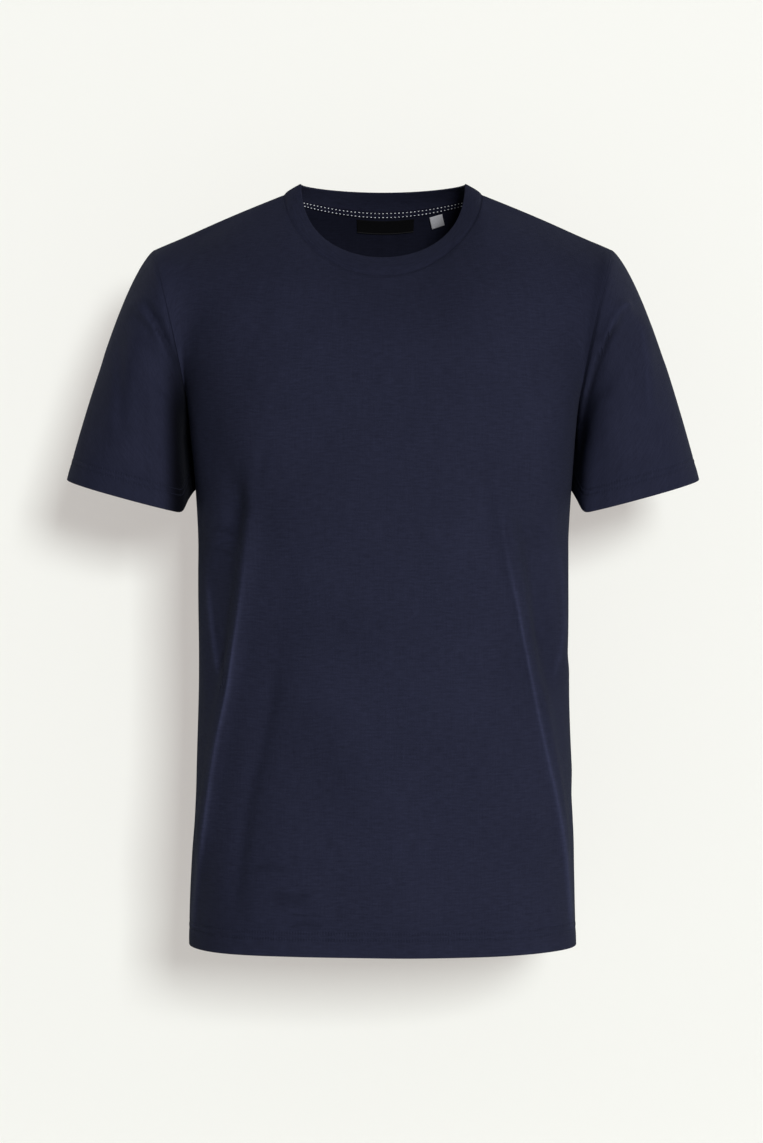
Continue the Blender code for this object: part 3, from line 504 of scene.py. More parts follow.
# ================================================================ coarse panels
def curve_through(rows, height):
    """The row of a table at this height, read from a smooth curve through all of its rows."""
    table = np.array(rows, float)
    heights = table[:, 0]
    slopes = np.gradient(table, heights, axis=0)
    low = int(np.clip(np.searchsorted(heights, height) - 1, 0, len(rows) - 2))
    span = heights[low + 1] - heights[low]
    t = (height - heights[low]) / span
    value = (
        (2 * t**3 - 3 * t**2 + 1) * table[low]
        + (t**3 - 2 * t**2 + t) * span * slopes[low]
        + (3 * t**2 - 2 * t**3) * table[low + 1]
        + (t**3 - t**2) * span * slopes[low + 1]
    )
    return type(rows[0])(*value)


def line_lengths(line):
    """How far along a line each of its points lies."""
    return np.concatenate([[0], np.cumsum(np.linalg.norm(np.diff(line, axis=0), axis=1))])


def values_at(line, values, distance):
    """The values kept at a line's points, read this far along it."""
    return np.array([np.interp(distance, line_lengths(line), values[:, k]) for k in range(3)])


def along(line, shares):
    """The points at these shares of a line's length."""
    at = line_lengths(line)
    return np.stack([np.interp(np.array(shares) * at[-1], at, line[:, k]) for k in range(3)], axis=1)


def bezier(start, start_pull, end_pull, end, t):
    """A curve that leaves start along start_pull and arrives at end along end_pull."""
    a, b, c, d = start, start + start_pull, end - end_pull, end
    return (1 - t) ** 3 * a + 3 * t * (1 - t) ** 2 * b + 3 * t**2 * (1 - t) * c + t**3 * d


def column_shares():
    """Where the columns cross the underarm, from -1 to 1 of the panel's half width."""
    outer = np.linspace(1, NECK_SHARE, SHOULDER_COLUMNS, endpoint=False)
    inner = np.linspace(-NECK_SHARE, NECK_SHARE, NECK_COLUMNS + 1)
    return np.concatenate([-outer, inner, outer[::-1]])


def body_ring(panel, height, shares):
    """Points of a panel's row at this height, below the underarm."""
    ring = curve_through(BODY_RINGS, height / MM)
    depth = ring.front_depth if panel is FRONT else ring.back_depth
    power = 2 / ring.squareness
    turns = np.linspace(-math.pi / 2, math.pi / 2, ARC_STEPS + 1)
    sine, cosine = np.sin(turns), np.clip(np.cos(turns), 0, 1)
    line = np.stack(
        [
            ring.half_width * MM * np.sign(sine) * np.abs(sine) ** power,
            panel.facing * depth * MM * cosine**power,
            np.full(len(turns), height),
        ],
        axis=1,
    )
    points = along(line, (shares + 1) / 2)
    sag = max(0.0, 1 - (height / MM - BODY_RINGS[0].height) * MM / HEM_DIP_HEIGHT) ** 2
    points[:, 2] -= HEM_DIP * sag * (1 - (points[:, 0] / (ring.half_width * MM)) ** 2)
    return points


def neckline_point(panel, turn):
    """A point of the neck seam: turn is 0 at the middle of the panel and a right angle at the neck point."""
    drop = max(0.0, math.cos(turn)) ** panel.neck_curve
    return np.array(
        [
            NECK_POINT[0] * math.sin(turn),
            panel.facing * panel.neck_depth * MM * math.cos(turn),
            NECK_POINT[2] - panel.neck_drop * MM * drop,
        ]
    )


def shoulder_point(side, share):
    """A point of the shoulder seam, from the neck point (share 0) to the tip (share 1)."""
    near, far = np.array(NECK_POINT), np.array(SHOULDER_TIP)
    point = near + (far - near) * share
    point[2] += SHOULDER_BULGE * math.sin(math.pi * share)
    return point * (side, 1, 1)


def upper_edge(panel):
    """The last row of a panel: one shoulder seam, the neckline, the other shoulder seam."""
    shoulder = np.linspace(1, 0, SHOULDER_COLUMNS, endpoint=False)
    turns = np.linspace(-math.pi / 2, math.pi / 2, NECK_COLUMNS + 1)
    return np.array(
        [shoulder_point(-1, share) for share in shoulder]
        + [neckline_point(panel, turn) for turn in turns]
        + [shoulder_point(1, share) for share in shoulder[::-1]]
    )


def pull(panel, values, side):
    """A pull from the Panel table as a vector for one side of the shirt."""
    across, out, up = values
    return np.array([side * across, panel.facing * out, up]) * MM


def upper_pull(panel, side, from_armhole, end):
    """How the column that lies this many columns from the armhole arrives at its end on the upper edge."""
    aim_from = np.array(NECK_POINT) - pull(panel, panel.neck_point, 1)
    if from_armhole <= SHOULDER_COLUMNS:
        share = float(eased(1 - from_armhole / SHOULDER_COLUMNS))
        other = np.array(SHOULDER_TIP) - pull(panel, panel.armhole_top, 1)
        across = panel.armhole_top[0] * MM * share
    else:
        share = float(eased(1 - abs(end[0]) / NECK_POINT[0]))
        other = neckline_point(panel, 0) - pull(panel, panel.neck_middle, 1)
        across = 0
    aim_from = aim_from * (1 - share) + other * share
    aim_from[0] = end[0] - side * across
    return end - aim_from


def coarse_panel(panel):
    """The outer face of a panel before its folds, as rows of points from the hem up."""
    shares = column_shares()
    hem, underarm = BODY_RINGS[0].height * MM, BODY_RINGS[-1].height * MM
    heights = [hem, *np.linspace(hem + HEM_STRIP, underarm, BODY_ROWS)]
    rows = [body_ring(panel, height, shares) for height in heights]
    rise = unit(rows[-1] - body_ring(panel, underarm - HEM_STRIP, shares))
    edge = upper_edge(panel)
    yoke = np.zeros((YOKE_ROWS, len(shares), 3))
    for column, share in enumerate(shares):
        start, end = rows[-1][column], edge[column]
        lean = max(0.0, (abs(share) - ARMHOLE_SPREAD) / (1 - ARMHOLE_SPREAD)) ** 2
        side = np.sign(share) or 1
        low = pull(panel, panel.armhole_low, side)
        leave = rise[column] * panel.rise * np.linalg.norm(end - start) * (1 - lean) + low * lean
        arrive = upper_pull(panel, side, min(column, len(shares) - 1 - column), end)
        for row in range(YOKE_ROWS):
            yoke[row, column] = bezier(start, leave, arrive, end, (row + 1) / YOKE_ROWS)
    return evened(np.concatenate([np.array(rows), yoke]))


def evened(grid):
    """A net with its upper points moved towards the middle of their neighbours; the edges stay."""
    first = len(grid) - 1 - YOKE_ROWS - EVEN_BELOW
    for _ in range(EVEN_ROUNDS):
        beside = grid[first:-1, :-2] + grid[first:-1, 2:]
        above_below = grid[first - 1 : -2, 1:-1] + grid[first + 1 :, 1:-1]
        grid[first:-1, 1:-1] = grid[first:-1, 1:-1] / 2 + (beside + above_below) / 8
    return grid


# ================================================================ fine panels
def net_places():
    """Knots and fine places of a panel's rows (heights, nominal above the underarm) and of its columns."""
    hem, underarm = BODY_RINGS[0].height * MM, BODY_RINGS[-1].height * MM
    low = np.concatenate([[0], np.linspace(HEM_STRIP, underarm - hem, BODY_ROWS)])
    row_knots = np.concatenate([low, low[-1] + ROW_UNIT * np.arange(1, YOKE_ROWS + 1)])
    last_fine_hem = FINE_HEM[-1] * MM
    body_count = round((low[-1] - last_fine_hem) / BODY_STEP)
    body = np.linspace(last_fine_hem, low[-1], body_count + 1)[1:]
    yoke = low[-1] + ROW_UNIT * np.arange(1, (YOKE_ROWS - 1) * NET_SPLIT + 1) / NET_SPLIT
    top = row_knots[-2] + ROW_UNIT * np.array(FINE_TOP)
    rows = np.concatenate([np.array(FINE_HEM) * MM, body, yoke, top])
    count = 2 * SHOULDER_COLUMNS + NECK_COLUMNS
    middle = 1 + np.arange((count - 2) * NET_SPLIT + 1) / NET_SPLIT
    seam = np.array(FINE_SEAM)
    columns = np.concatenate([seam, middle, count - seam[::-1]])
    return row_knots, rows, np.arange(count + 1.0), np.round(columns, 9)


ROW_KNOTS, ROWS, COLUMN_KNOTS, COLUMNS = net_places()
UNDERARM = int(np.argmin(np.abs(ROWS - ROW_KNOTS[BODY_ROWS])))
NECK_1 = int(np.argmin(np.abs(COLUMNS - SHOULDER_COLUMNS)))
NECK_2 = int(np.argmin(np.abs(COLUMNS - SHOULDER_COLUMNS - NECK_COLUMNS)))


def fine_net(coarse):
    """A panel's net drawn out along smooth curves, with its corners kept sharp."""
    count = coarse.shape[1] - 1
    column = np.arange(count + 1)
    corner = eased(1 - np.minimum(column, count - column) / CORNER_SPREAD)[None, :, None]
    smooth = np.tensordot(spline_weights(ROW_KNOTS, ROWS), coarse, 1)
    sharp = np.tensordot(split_weights(ROW_KNOTS, ROWS, [BODY_ROWS]), coarse, 1)
    rows = smooth * (1 - corner) + sharp * corner
    corners = [SHOULDER_COLUMNS, SHOULDER_COLUMNS + NECK_COLUMNS]
    smooth = np.einsum("fc,rck->rfk", spline_weights(COLUMN_KNOTS, COLUMNS), rows)
    sharp = np.einsum("fc,rck->rfk", split_weights(COLUMN_KNOTS, COLUMNS, corners), rows)
    corner = eased(1 - (ROW_KNOTS[-1] - ROWS) / (CORNER_SPREAD * ROW_UNIT))[:, None, None]
    return smooth * (1 - corner) + sharp * corner


def normals_of(grid, closed, towards):
    """Unit normals of a net. towards is +1 or -1, so that they point out of the shirt."""
    if closed:
        round_it = np.roll(grid, -1, axis=1) - np.roll(grid, 1, axis=1)
    else:
        round_it = np.gradient(grid, axis=1)
    return unit(towards * np.cross(round_it, np.gradient(grid, axis=0)))


def fold_strength(start, end, bow, breadth, across, up):
    """How strongly a fold from start to end acts on points at (across, up): 1 on its line, less around it."""
    line = np.subtract(end, start)
    length = np.linalg.norm(line)
    line = line / length
    offset = np.stack([across - start[0], up - start[1]], axis=-1)
    share = offset @ line / length
    aside = offset @ np.array([-line[1], line[0]]) - bow * 4 * share * (1 - share)
    return np.exp(-((aside / breadth) ** 2)) * eased(np.minimum(share, 1 - share) / FOLD_FADE)


def crease_line(points):
    """A crease's points, drawn out along a smooth curve."""
    points = np.array(points, float) * MM
    weights = spline_weights(np.arange(len(points)), np.linspace(0, len(points) - 1, CREASE_STEPS))
    return weights @ points


def line_places(points, grid):
    """How far each point of a net lies from a line (above 0 on its -X or upper side), and at which share."""
    line = crease_line(points)
    flat = grid[:, :, [0, 2]]
    best = np.full(grid.shape[:2], np.inf)
    aside, share = np.zeros(best.shape), np.zeros(best.shape)
    for k in range(len(line) - 1):
        step = line[k + 1] - line[k]
        length = np.linalg.norm(step)
        offset = flat - line[k]
        t = np.clip(offset @ step / length**2, 0, 1)
        apart = np.linalg.norm(offset - t[..., None] * step, axis=2)
        nearer = apart < best
        hand = np.sign(offset @ np.array([step[1], -step[0]]))
        best = np.where(nearer, apart, best)
        aside = np.where(nearer, apart * hand, aside)
        share = np.where(nearer, (k + t) / (len(line) - 1), share)
    run = line[-1] - line[0]
    downwards = run[1] < 0 and abs(run[1]) > abs(run[0])
    return aside if downwards else -aside, share


def crease_strength(crease, grid):
    """How strongly a crease acts on each point of a net: 1 on its line, less around it."""
    aside, share = line_places(crease.points, grid)
    breadth = np.where(aside > 0, crease.breadth_1, crease.breadth_2) * MM
    ends = eased(np.minimum(share, 1 - share) / CREASE_FADE)
    return np.exp(-((aside / breadth) ** 2)) * ends


def sharp_lines(name, grid, seen=1.0):
    """Each point's distance from the nearest sharp line of this piece, and how sharp that line is there."""
    nearest, sharpness = np.full(grid.shape[:2], 1.0), np.zeros(grid.shape[:2])
    for line in LINES[name]:
        aside, share = line_places(line.points, grid)
        ends = eased(share / line.fades[0]) * eased((1 - share) / line.fades[1])
        nearer = np.abs(aside) < np.abs(nearest)
        nearest = np.where(nearer, aside, nearest)
        sharpness = np.where(nearer, line.strength * ends * seen, sharpness)
    near, far = LINE_REACH
    return nearest, sharpness * eased((far - np.abs(nearest)) / (far - near))


def ripples(panel, across, up, size):
    """Slow, uneven waves of hanging cloth."""
    random = np.random.default_rng(RIPPLE_SEED + (panel is BACK))
    lift = np.zeros(across.shape)
    for _ in range(RIPPLE_WAVES):
        wide, tall = random.uniform(*RIPPLE_ACROSS), random.uniform(*RIPPLE_UP)
        phase, slant = random.uniform(0, 2 * math.pi), random.choice([-1, 1])
        lift += np.sin(2 * math.pi * (across / wide + slant * up / tall) + phase)
    return lift * size / math.sqrt(RIPPLE_WAVES)


def panel_lift(panel, grid, crease_depth, ripple):
    """How far the folds, creases and ripples move a panel's points out or in."""
    across = lengths_along(grid, 1)
    from_side = np.minimum(across, across[:, -1:] - across)
    across = across - across[:, -1:] / 2
    height = lengths_along(grid, 0)
    from_top = height[-1:] - height
    lift = np.zeros(across.shape)
    for fold in FOLDS[panel.name]:
        start = (fold.across_1 * MM, fold.height_1 * MM)
        end = (fold.across_2 * MM, fold.height_2 * MM)
        strength = fold_strength(start, end, fold.bow * MM, fold.breadth * MM, across, grid[:, :, 2])
        lift += fold.depth * MM * strength
    for crease in CREASES[panel.name]:
        lift += crease.depth * crease_depth * MM * crease_strength(crease, grid)
    lift += ripples(panel, across, grid[:, :, 2], ripple)
    return lift * eased(from_side / STILL_REACH) * eased(from_top / STILL_REACH)


def hem_waves(panel, grid):
    """How far the lower edge wanders up and down."""
    random = np.random.default_rng(HEM_SEED + (panel is BACK))
    across = lengths_along(grid, 1)
    share = across / across[:, -1:]
    wave = sum(np.sin(math.pi * k * share) * random.uniform(-1, 1) for k in range(2, 2 + HEM_WAVES))
    return wave * HEM_WAVE * eased(1 - ROWS / HEM_WAVE_REACH)[:, None]


def tip_lift(grid):
    """How far the cloth near the shoulder tips is raised."""
    apart = np.linalg.norm(np.abs(grid) * TIP_SCALE - np.abs(SHOULDER_TIP) * TIP_SCALE, axis=2)
    return TIP_LIFT * np.exp(-((apart / TIP_REACH) ** 2))


# ================================================================ sleeves and collar
def armhole_loop(front, back, column):
    """The armhole's points: up the front panel's edge, over the shoulder tip, and down the back's."""
    return np.concatenate([front[UNDERARM:, column], back[UNDERARM + 1 : -1, column][::-1]])


def sleeve_turns(loop):
    """The angle round the sleeve of each armhole point: half a turn at the underarm, 0 at the shoulder."""
    half = len(ROWS) - 1 - UNDERARM
    front = line_lengths(loop[: half + 1])
    back = line_lengths(np.concatenate([loop[half:], loop[:1]]))
    return np.concatenate([math.pi * (1 - front / front[-1]), (-math.pi * back / back[-1])[1:-1]])


def blend_of_lines(turn):
    """(pull across, pull out, pull up, pull at the cuff) of a sleeve at this angle round it."""
    cosine, sine = math.cos(turn), math.sin(turn)
    weights = (
        (SLEEVE_OUTER, max(0.0, cosine) ** 2),
        (SLEEVE_INNER, max(0.0, -cosine) ** 2),
        (SLEEVE_FRONT, max(0.0, sine) ** 2),
        (SLEEVE_BACK, max(0.0, -sine) ** 2),
    )
    return sum(np.array(line) * weight for line, weight in weights) * MM


def cuff_point(side, turn):
    """A point of the cuff's edge at this angle round the sleeve."""
    power = 2 / CUFF_SQUARENESS
    cosine = math.copysign(abs(math.cos(turn)) ** power, math.cos(turn))
    sine = math.copysign(abs(math.sin(turn)) ** power, math.sin(turn))
    x, y, z = CUFF_MIDDLE
    z += CUFF_HALF_WIDTH * math.sin(CUFF_TILT) * cosine
    z += float(np.interp(math.degrees(turn) % 360, *zip(*CUFF_RISE))) * MM
    z += CUFF_BACK_RISE * (1 - sine) / 2
    return np.array(
        [side * (x + CUFF_HALF_WIDTH * math.cos(CUFF_TILT) * cosine), y - CUFF_HALF_DEPTH * sine, z]
    )


def sleeve_line_steps(length):
    """How far from the armhole each ring crosses a line of a sleeve."""
    seam, cuff = np.array(SLEEVE_SEAM_STEPS) * MM, length - np.array(SLEEVE_CUFF_STEPS) * MM
    middle = np.linspace(seam[-1], cuff[0], SLEEVE_MIDDLE_RINGS + 2)[1:-1]
    return np.concatenate([seam, middle, cuff])


def sleeve_line(start, turn, side):
    """One line of a sleeve's net: its points, how far they lie from the armhole and from the cuff, and their
    share of the way in rings of the coarse net."""
    across, out, up, cuff_pull = blend_of_lines(turn)
    flare = 1 - max(0.0, -math.cos(turn)) ** 2
    arrive = np.array([side * math.sin(CUFF_TILT) * flare, 0, -math.cos(CUFF_TILT)]) * cuff_pull
    t = np.linspace(0, 1, SLEEVE_CURVE_STEPS)[:, None]
    line = bezier(start, np.array([side * across, out, up]), arrive, cuff_point(side, turn), t)
    length = np.linalg.norm(np.diff(line, axis=0), axis=1).sum()
    steps = sleeve_line_steps(length)
    body = np.clip(steps / (length - HEM_STRIP), 0, 1) * SLEEVE_RINGS
    strip = np.clip((steps - length + HEM_STRIP) / HEM_STRIP, 0, 1)
    return along(line, steps / length), steps, length - steps, (body + strip) / (SLEEVE_RINGS + 1)


def sleeve_tuck(name, degrees):
    """How far the inner side of a sleeve is tucked away from the body at these angles round it."""
    tuck = np.interp(degrees, *zip(*SLEEVE_TUCK))
    tuck = np.where(tuck > 0, tuck * TUCK_SHARES[name], tuck)
    for _ in range(TUCK_SMOOTHING):
        tuck = (np.roll(tuck, 1) + 2 * tuck + np.roll(tuck, -1)) / 4
    return tuck * MM


def sleeve_lift(name, grid, turns, share, crease_depth):
    """How far the folds and creases move a sleeve's points out or in."""
    lift, round_it = np.zeros(share.shape), np.broadcast_to(np.degrees(turns) % 360 / 360, share.shape)
    for fold in SLEEVE_FOLDS[name]:
        start, end = (fold.round_1 / 360, fold.along_1), (fold.round_2 / 360, fold.along_2)
        strength = fold_strength(start, end, 0, fold.breadth, round_it, share)
        lift += fold.depth * MM * strength * crease_depth
    for cloth, ahead in ((name, np.sin(turns)), (name + "_back", -np.sin(turns))):
        seen = eased(ahead / FACING_SPREAD + FACING_START)
        for crease in CREASES[cloth]:
            lift += crease.depth * crease_depth * MM * crease_strength(crease, grid) * seen
    return lift


def sleeve_net(name, loop, crease_depth):
    """The outer face of a sleeve as rings from the armhole to the cuff, its points' distances to both, and
    how deep it dips at the seam."""
    turns, side = sleeve_turns(loop), SLEEVES[name]
    lines = [sleeve_line(start, turn, side) for start, turn in zip(loop, turns)]
    grid, from_seam, to_cuff, share = (np.stack(values, axis=1) for values in zip(*lines))
    grid[:, :, 0] += side * sleeve_tuck(name, np.degrees(turns) % 360) * eased(from_seam / TUCK_REACH)
    lift = sleeve_lift(name, grid, turns, share, crease_depth) * eased(from_seam / STILL_REACH)
    depth = ARMHOLE_DIP * (TOP_DIP + (1 - TOP_DIP) * np.abs(np.sin(turns)))
    dip = seam_dip(from_seam, depth, ARMHOLE_DIP_REACH)
    return grid + normals_of(grid, True, -side) * lift[:, :, None], from_seam, to_cuff, dip


def neck_depth(y):
    """The neckline's depth on the side of the shirt where y is."""
    return (FRONT if y < 0 else BACK).neck_depth * MM


def softened(cosine):
    """0 to 1 as the size of a cosine does, but level where the cosine is 0."""
    soft = COLLAR_SIDE_ROUNDING
    return (math.hypot(cosine, soft) - soft) / (math.hypot(1, soft) - soft)


def neckline_loop(front, back):
    """The neckline's points: along the front from -X to +X, and back along the back."""
    return np.concatenate([front[-1, NECK_1 : NECK_2 + 1], back[-1, NECK_1 + 1 : NECK_2][::-1]])


def collar_net(loop):
    """The outer face of the collar, as rings from the neck seam to the rim."""
    grid = np.zeros((len(COLLAR_SHARES), len(loop), 3))
    for j, seam in enumerate(loop):
        turn = math.atan2(seam[0] / NECK_POINT[0], abs(seam[1]) / neck_depth(seam[1]))
        middle = COLLAR_FRONT if seam[1] < 0 else COLLAR_BACK
        ahead = softened(math.cos(turn)) ** middle.curve
        height = COLLAR_SIDE_HEIGHT + (middle.z - COLLAR_SIDE_HEIGHT) * ahead
        rim = np.array([COLLAR_HALF_WIDTH * math.sin(turn), middle.y * abs(math.cos(turn)), height])
        outwards = np.array([math.sin(turn), math.copysign(abs(math.cos(turn)), seam[1]), 0])
        for row, share in enumerate(COLLAR_SHARES):
            grid[row, j] = seam + (rim - seam) * share + outwards * COLLAR_ROLL * math.sin(math.pi * share)
    return grid


# ================================================================ seams
def average(*groups):
    """The mean direction of several nets of normals."""
    return unit(sum(groups))


def share_normals(front, back, sleeves, collar, armholes):
    """Gives two pieces one normal along their seam, so that their walls stay parallel there."""
    count = front.shape[1]
    shoulders = [*range(NECK_1 + 1), *range(NECK_2, count)]
    for seam in (np.s_[: UNDERARM + 1, 0], np.s_[: UNDERARM + 1, -1], np.s_[-1, shoulders]):
        front[seam] = back[seam] = average(front[seam], back[seam])
    half = len(ROWS) - UNDERARM
    for column, sleeve, armhole in zip((0, -1), sleeves, armholes):
        shared = average(armhole_loop(front, back, column), sleeve[0], unit(armhole - armhole.mean(axis=0)))
        sleeve[0] = shared
        front[UNDERARM:, column] = shared[:half]
        back[UNDERARM + 1 : -1, column] = shared[half:][::-1]
        back[UNDERARM, column], back[-1, column] = shared[0], shared[half - 1]
    shared = average(neckline_loop(front, back), collar[0])
    collar[0] = shared
    front[-1, NECK_1 : NECK_2 + 1] = shared[: NECK_2 - NECK_1 + 1]
    back[-1, NECK_1 + 1 : NECK_2] = shared[NECK_2 - NECK_1 + 1 :][::-1]
    back[-1, NECK_1], back[-1, NECK_2] = shared[0], shared[NECK_2 - NECK_1]


def spread_normals(normals, distance):
    """Turns the normals near a net's first row towards those of that row."""
    weight = eased(1 - distance / NORMAL_REACH)[..., None]
    normals[:] = unit(normals * (1 - weight) + normals[:1].copy() * weight)


def spread_panel_normals(grid, normals):
    """Does so along the panel's upper edge and along both of its sides."""
    sides = normals[:, 0].copy(), normals[:, -1].copy()
    height, across = lengths_along(grid, 0), lengths_along(grid, 1)
    spread_normals(normals[::-1], (height[-1:] - height)[::-1])
    normals[:, 0], normals[:, -1] = sides
    spread_normals(normals.swapaxes(0, 1), across.T)
    spread_normals(normals.swapaxes(0, 1)[::-1], (across[:, -1:] - across).T[::-1])


def seam_step(line, normals, side, closed=False):
    """Half a seam gap, at right angles to a seam line and along the cloth; side says to which hand."""
    if closed:
        along_seam = np.roll(line, -1, axis=0) - np.roll(line, 1, axis=0)
    else:
        along_seam = np.gradient(line, axis=0)
    return side * unit(np.cross(normals, along_seam)) * SEAM_GAP / 2


def open_panel_seams(panel, grid, normals):
    """A panel's net with its side, armhole, shoulder and neck edges half a gap short of the seam lines."""
    moved = grid.copy()
    for column, side in ((0, panel.facing), (-1, -panel.facing)):
        side_normals = normals[: UNDERARM + 1, column].copy()
        side_normals[-1] = side_normals[-2]
        moved[: UNDERARM + 1, column] += seam_step(grid[: UNDERARM + 1, column], side_normals, side)
        moved[UNDERARM:, column] += seam_step(grid[UNDERARM:, column], normals[UNDERARM:, column], side)
    for columns in (slice(0, NECK_1 + 1), slice(NECK_1, NECK_2 + 1), slice(NECK_2, None)):
        moved[-1, columns] += seam_step(grid[-1, columns], normals[-1, columns], panel.facing)
    return moved


def seam_dip(distance, depth=SEAM_DIP, reach=SEAM_DIP_REACH):
    """How deep the cloth lies below its face, this far from a seam."""
    return depth * np.exp(-((distance / reach) ** 2))


def hem_relief(distance, needle_rows):
    """Grooves under the rows of stitches and the puff between them, this far from the hem's edge."""
    grooves = sum(np.exp(-(((distance - row) / NEEDLE_REACH) ** 2)) for row in needle_rows)
    middle = sum(needle_rows) / 2
    reach = (needle_rows[1] - needle_rows[0]) / PUFF_SHARES[0]
    puff = np.exp(-(((distance - middle) / reach) ** 2))
    below = np.exp(-(((distance - needle_rows[0] / 2) / (needle_rows[0] / PUFF_SHARES[1])) ** 2))
    return HEM_PUFF * (puff + below) - NEEDLE_DIP * grooves


def rounded(distance, half_wall, reach=EDGE_ROUND, left=EDGE_LEFT):
    """Half the thickness of a wall near its rounded edge."""
    inside = np.clip(1 - distance / reach, 0, 1)
    return half_wall * (left + (1 - left) * np.sqrt(1 - inside**2))


def wall_sides(grid, normals, wall, dip, relief, to_edge):
    """The outer and the inner face of a wall of cloth, whose free edge is rounded."""
    half, middle = rounded(to_edge, wall / 2), wall / 2
    outer = grid + normals * (relief - dip - middle + half)[..., None]
    drop = np.maximum(dip * INNER_DIP, dip - wall * (1 - LEAST_WALL))
    inner = grid + normals * (relief * INNER_RELIEF - drop - middle - half)[..., None]
    return outer, inner


# The faces and normals of a piece, its points' places on the cloth, and what its material reads at a point.
Form = namedtuple(
    "Form",
    "outer inner normals closed across up edge shade line sharp inside",
    defaults=(0, 0, 0, INSIDE_PAINTED_SHADE),
)


def panel_form(panel, grid, normals, cloth):
    """A panel's two faces, with the values that its material reads."""
    height, across = lengths_along(grid, 0), lengths_along(grid, 1)
    from_side = np.minimum(across, across[:, -1:] - across)
    columns = np.arange(grid.shape[1])
    top_dip = np.where((columns >= NECK_1) & (columns <= NECK_2), NECK_DIP, SEAM_DIP)
    dip = np.maximum(seam_dip(from_side), seam_dip(height[-1:] - height, top_dip))
    wall = np.where(ROWS < TURN_UP, cloth.hem_wall, cloth.wall)[:, None]
    relief = hem_relief(ROWS, NEEDLE_ROWS)[:, None] * np.ones(across.shape)
    to_edge = np.broadcast_to(ROWS[:, None], across.shape)
    outer, inner = wall_sides(open_panel_seams(panel, grid, normals), normals, wall, dip, relief, to_edge)
    # painted light on the front beside the right sleeve
    apart = (grid[:, :, [0, 2]] - SIDE_PAINTED_LIGHT_MIDDLE) / SIDE_PAINTED_LIGHT_REACH
    shade = (panel is FRONT) * SIDE_PAINTED_LIGHT * np.exp(-(apart**2).sum(axis=2))
    across = across - across[:, -1:] / 2
    return Form(outer, inner, normals, False, across, height, to_edge, shade, *sharp_lines(panel.name, grid))


def ring_form(grid, normals, side, wall, dip, relief, up, to_edge, **values):
    """The two faces of a closed piece that is sewn on along its first ring."""
    moved = grid.copy()
    moved[0] += seam_step(grid[0], normals[0], side, closed=True)
    outer, inner = wall_sides(moved, normals, wall, dip, relief, to_edge)
    across = lengths_along(np.concatenate([grid, grid[:, :1]], axis=1), 1)
    return Form(outer, inner, normals, True, across, up, to_edge, **values)


def gap_painted_shade(name, grid):
    """Painted shade on a sleeve where it hangs beside the body; below 0, painted light."""
    across, height = np.abs(grid[:, :, 0]), grid[:, :, 2]
    beside = eased((GAP_TO - across) / GAP_REACH)
    return GAP_PAINTED_SHADES[name] * beside * eased((GAP_TOP - height) / GAP_HEIGHT)


def sleeve_form(name, net, normals, cloth):
    """A sleeve's two faces, with the values that its material reads."""
    grid, from_seam, to_cuff, dip = net
    wall = np.where(to_cuff < TURN_UP, cloth.hem_wall, cloth.wall)
    relief = hem_relief(to_cuff, CUFF_NEEDLE_ROWS)
    depth = grid[:, :, 1]
    ahead = eased((depth.mean(axis=1, keepdims=True) - depth) / AHEAD_REACH + 0.5)
    values = dict(zip(("line", "sharp"), sharp_lines(name, grid, ahead)))
    # painted shade in the gap beside the body, weaker on the back half
    values["shade"] = gap_painted_shade(name, grid) * (BACK_PAINTED_SHADE + (1 - BACK_PAINTED_SHADE) * ahead)
    return ring_form(grid, normals, -SLEEVES[name], wall, dip, relief, -from_seam, to_cuff, **values)


def collar_form(grid, normals, cloth):
    """The collar's two faces, with the values that its material reads."""
    height = lengths_along(grid, 0)
    dip, to_edge = seam_dip(height, NECK_DIP), height[-1:] - height
    return ring_form(
        grid, normals, 1, cloth.collar_wall, dip, 0 * height, height, to_edge, inside=RIB_INSIDE_PAINTED_SHADE
    )


def panel_grid(panel, cloth):
    """The outer face of a panel with its folds."""
    base = fine_net(coarse_panel(panel))
    lift = panel_lift(panel, base, cloth.crease_depth, cloth.ripple)
    grid = base + normals_of(base, False, -panel.facing) * lift[:, :, None]
    grid[:, :, 2] += hem_waves(panel, grid) + tip_lift(grid)
    return grid


def cloth_normals(front, back, armholes, sleeves, collar):
    """The normals of both panels, both sleeves and the collar, the same on both sides of every seam."""
    panels = [normals_of(front, False, 1), normals_of(back, False, -1)]
    around = [normals_of(net[0], True, -side) for net, side in zip(sleeves, SLEEVES.values())]
    rib = normals_of(collar, True, 1)
    share_normals(*panels, around, rib, armholes)
    for grid, normals in zip((front, back), panels):
        spread_panel_normals(grid, normals)
    for net, normals in zip(sleeves, around):
        spread_normals(normals, net[1])
    spread_normals(rib, lengths_along(collar, 0))
    return panels, around, rib


@lru_cache(maxsize=1)
def shirt_forms():
    """Every piece of cloth as a Form, by name."""
    cloth = bpy.context.scene.tshirt_cloth
    front, back = panel_grid(FRONT, cloth), panel_grid(BACK, cloth)
    armholes = [armhole_loop(front, back, column) for column in (0, -1)]
    sleeves = [sleeve_net(name, loop, cloth.crease_depth) for name, loop in zip(SLEEVES, armholes)]
    collar = collar_net(neckline_loop(front, back))
    panels, around, rib = cloth_normals(front, back, armholes, sleeves, collar)
    forms = {
        "front": panel_form(FRONT, front, panels[0], cloth),
        "back": panel_form(BACK, back, panels[1], cloth),
        "collar": collar_form(collar, rib, cloth),
    }
    for name, net, normals in zip(SLEEVES, sleeves, around):
        forms[name] = sleeve_form(name, net, normals, cloth)
    return forms


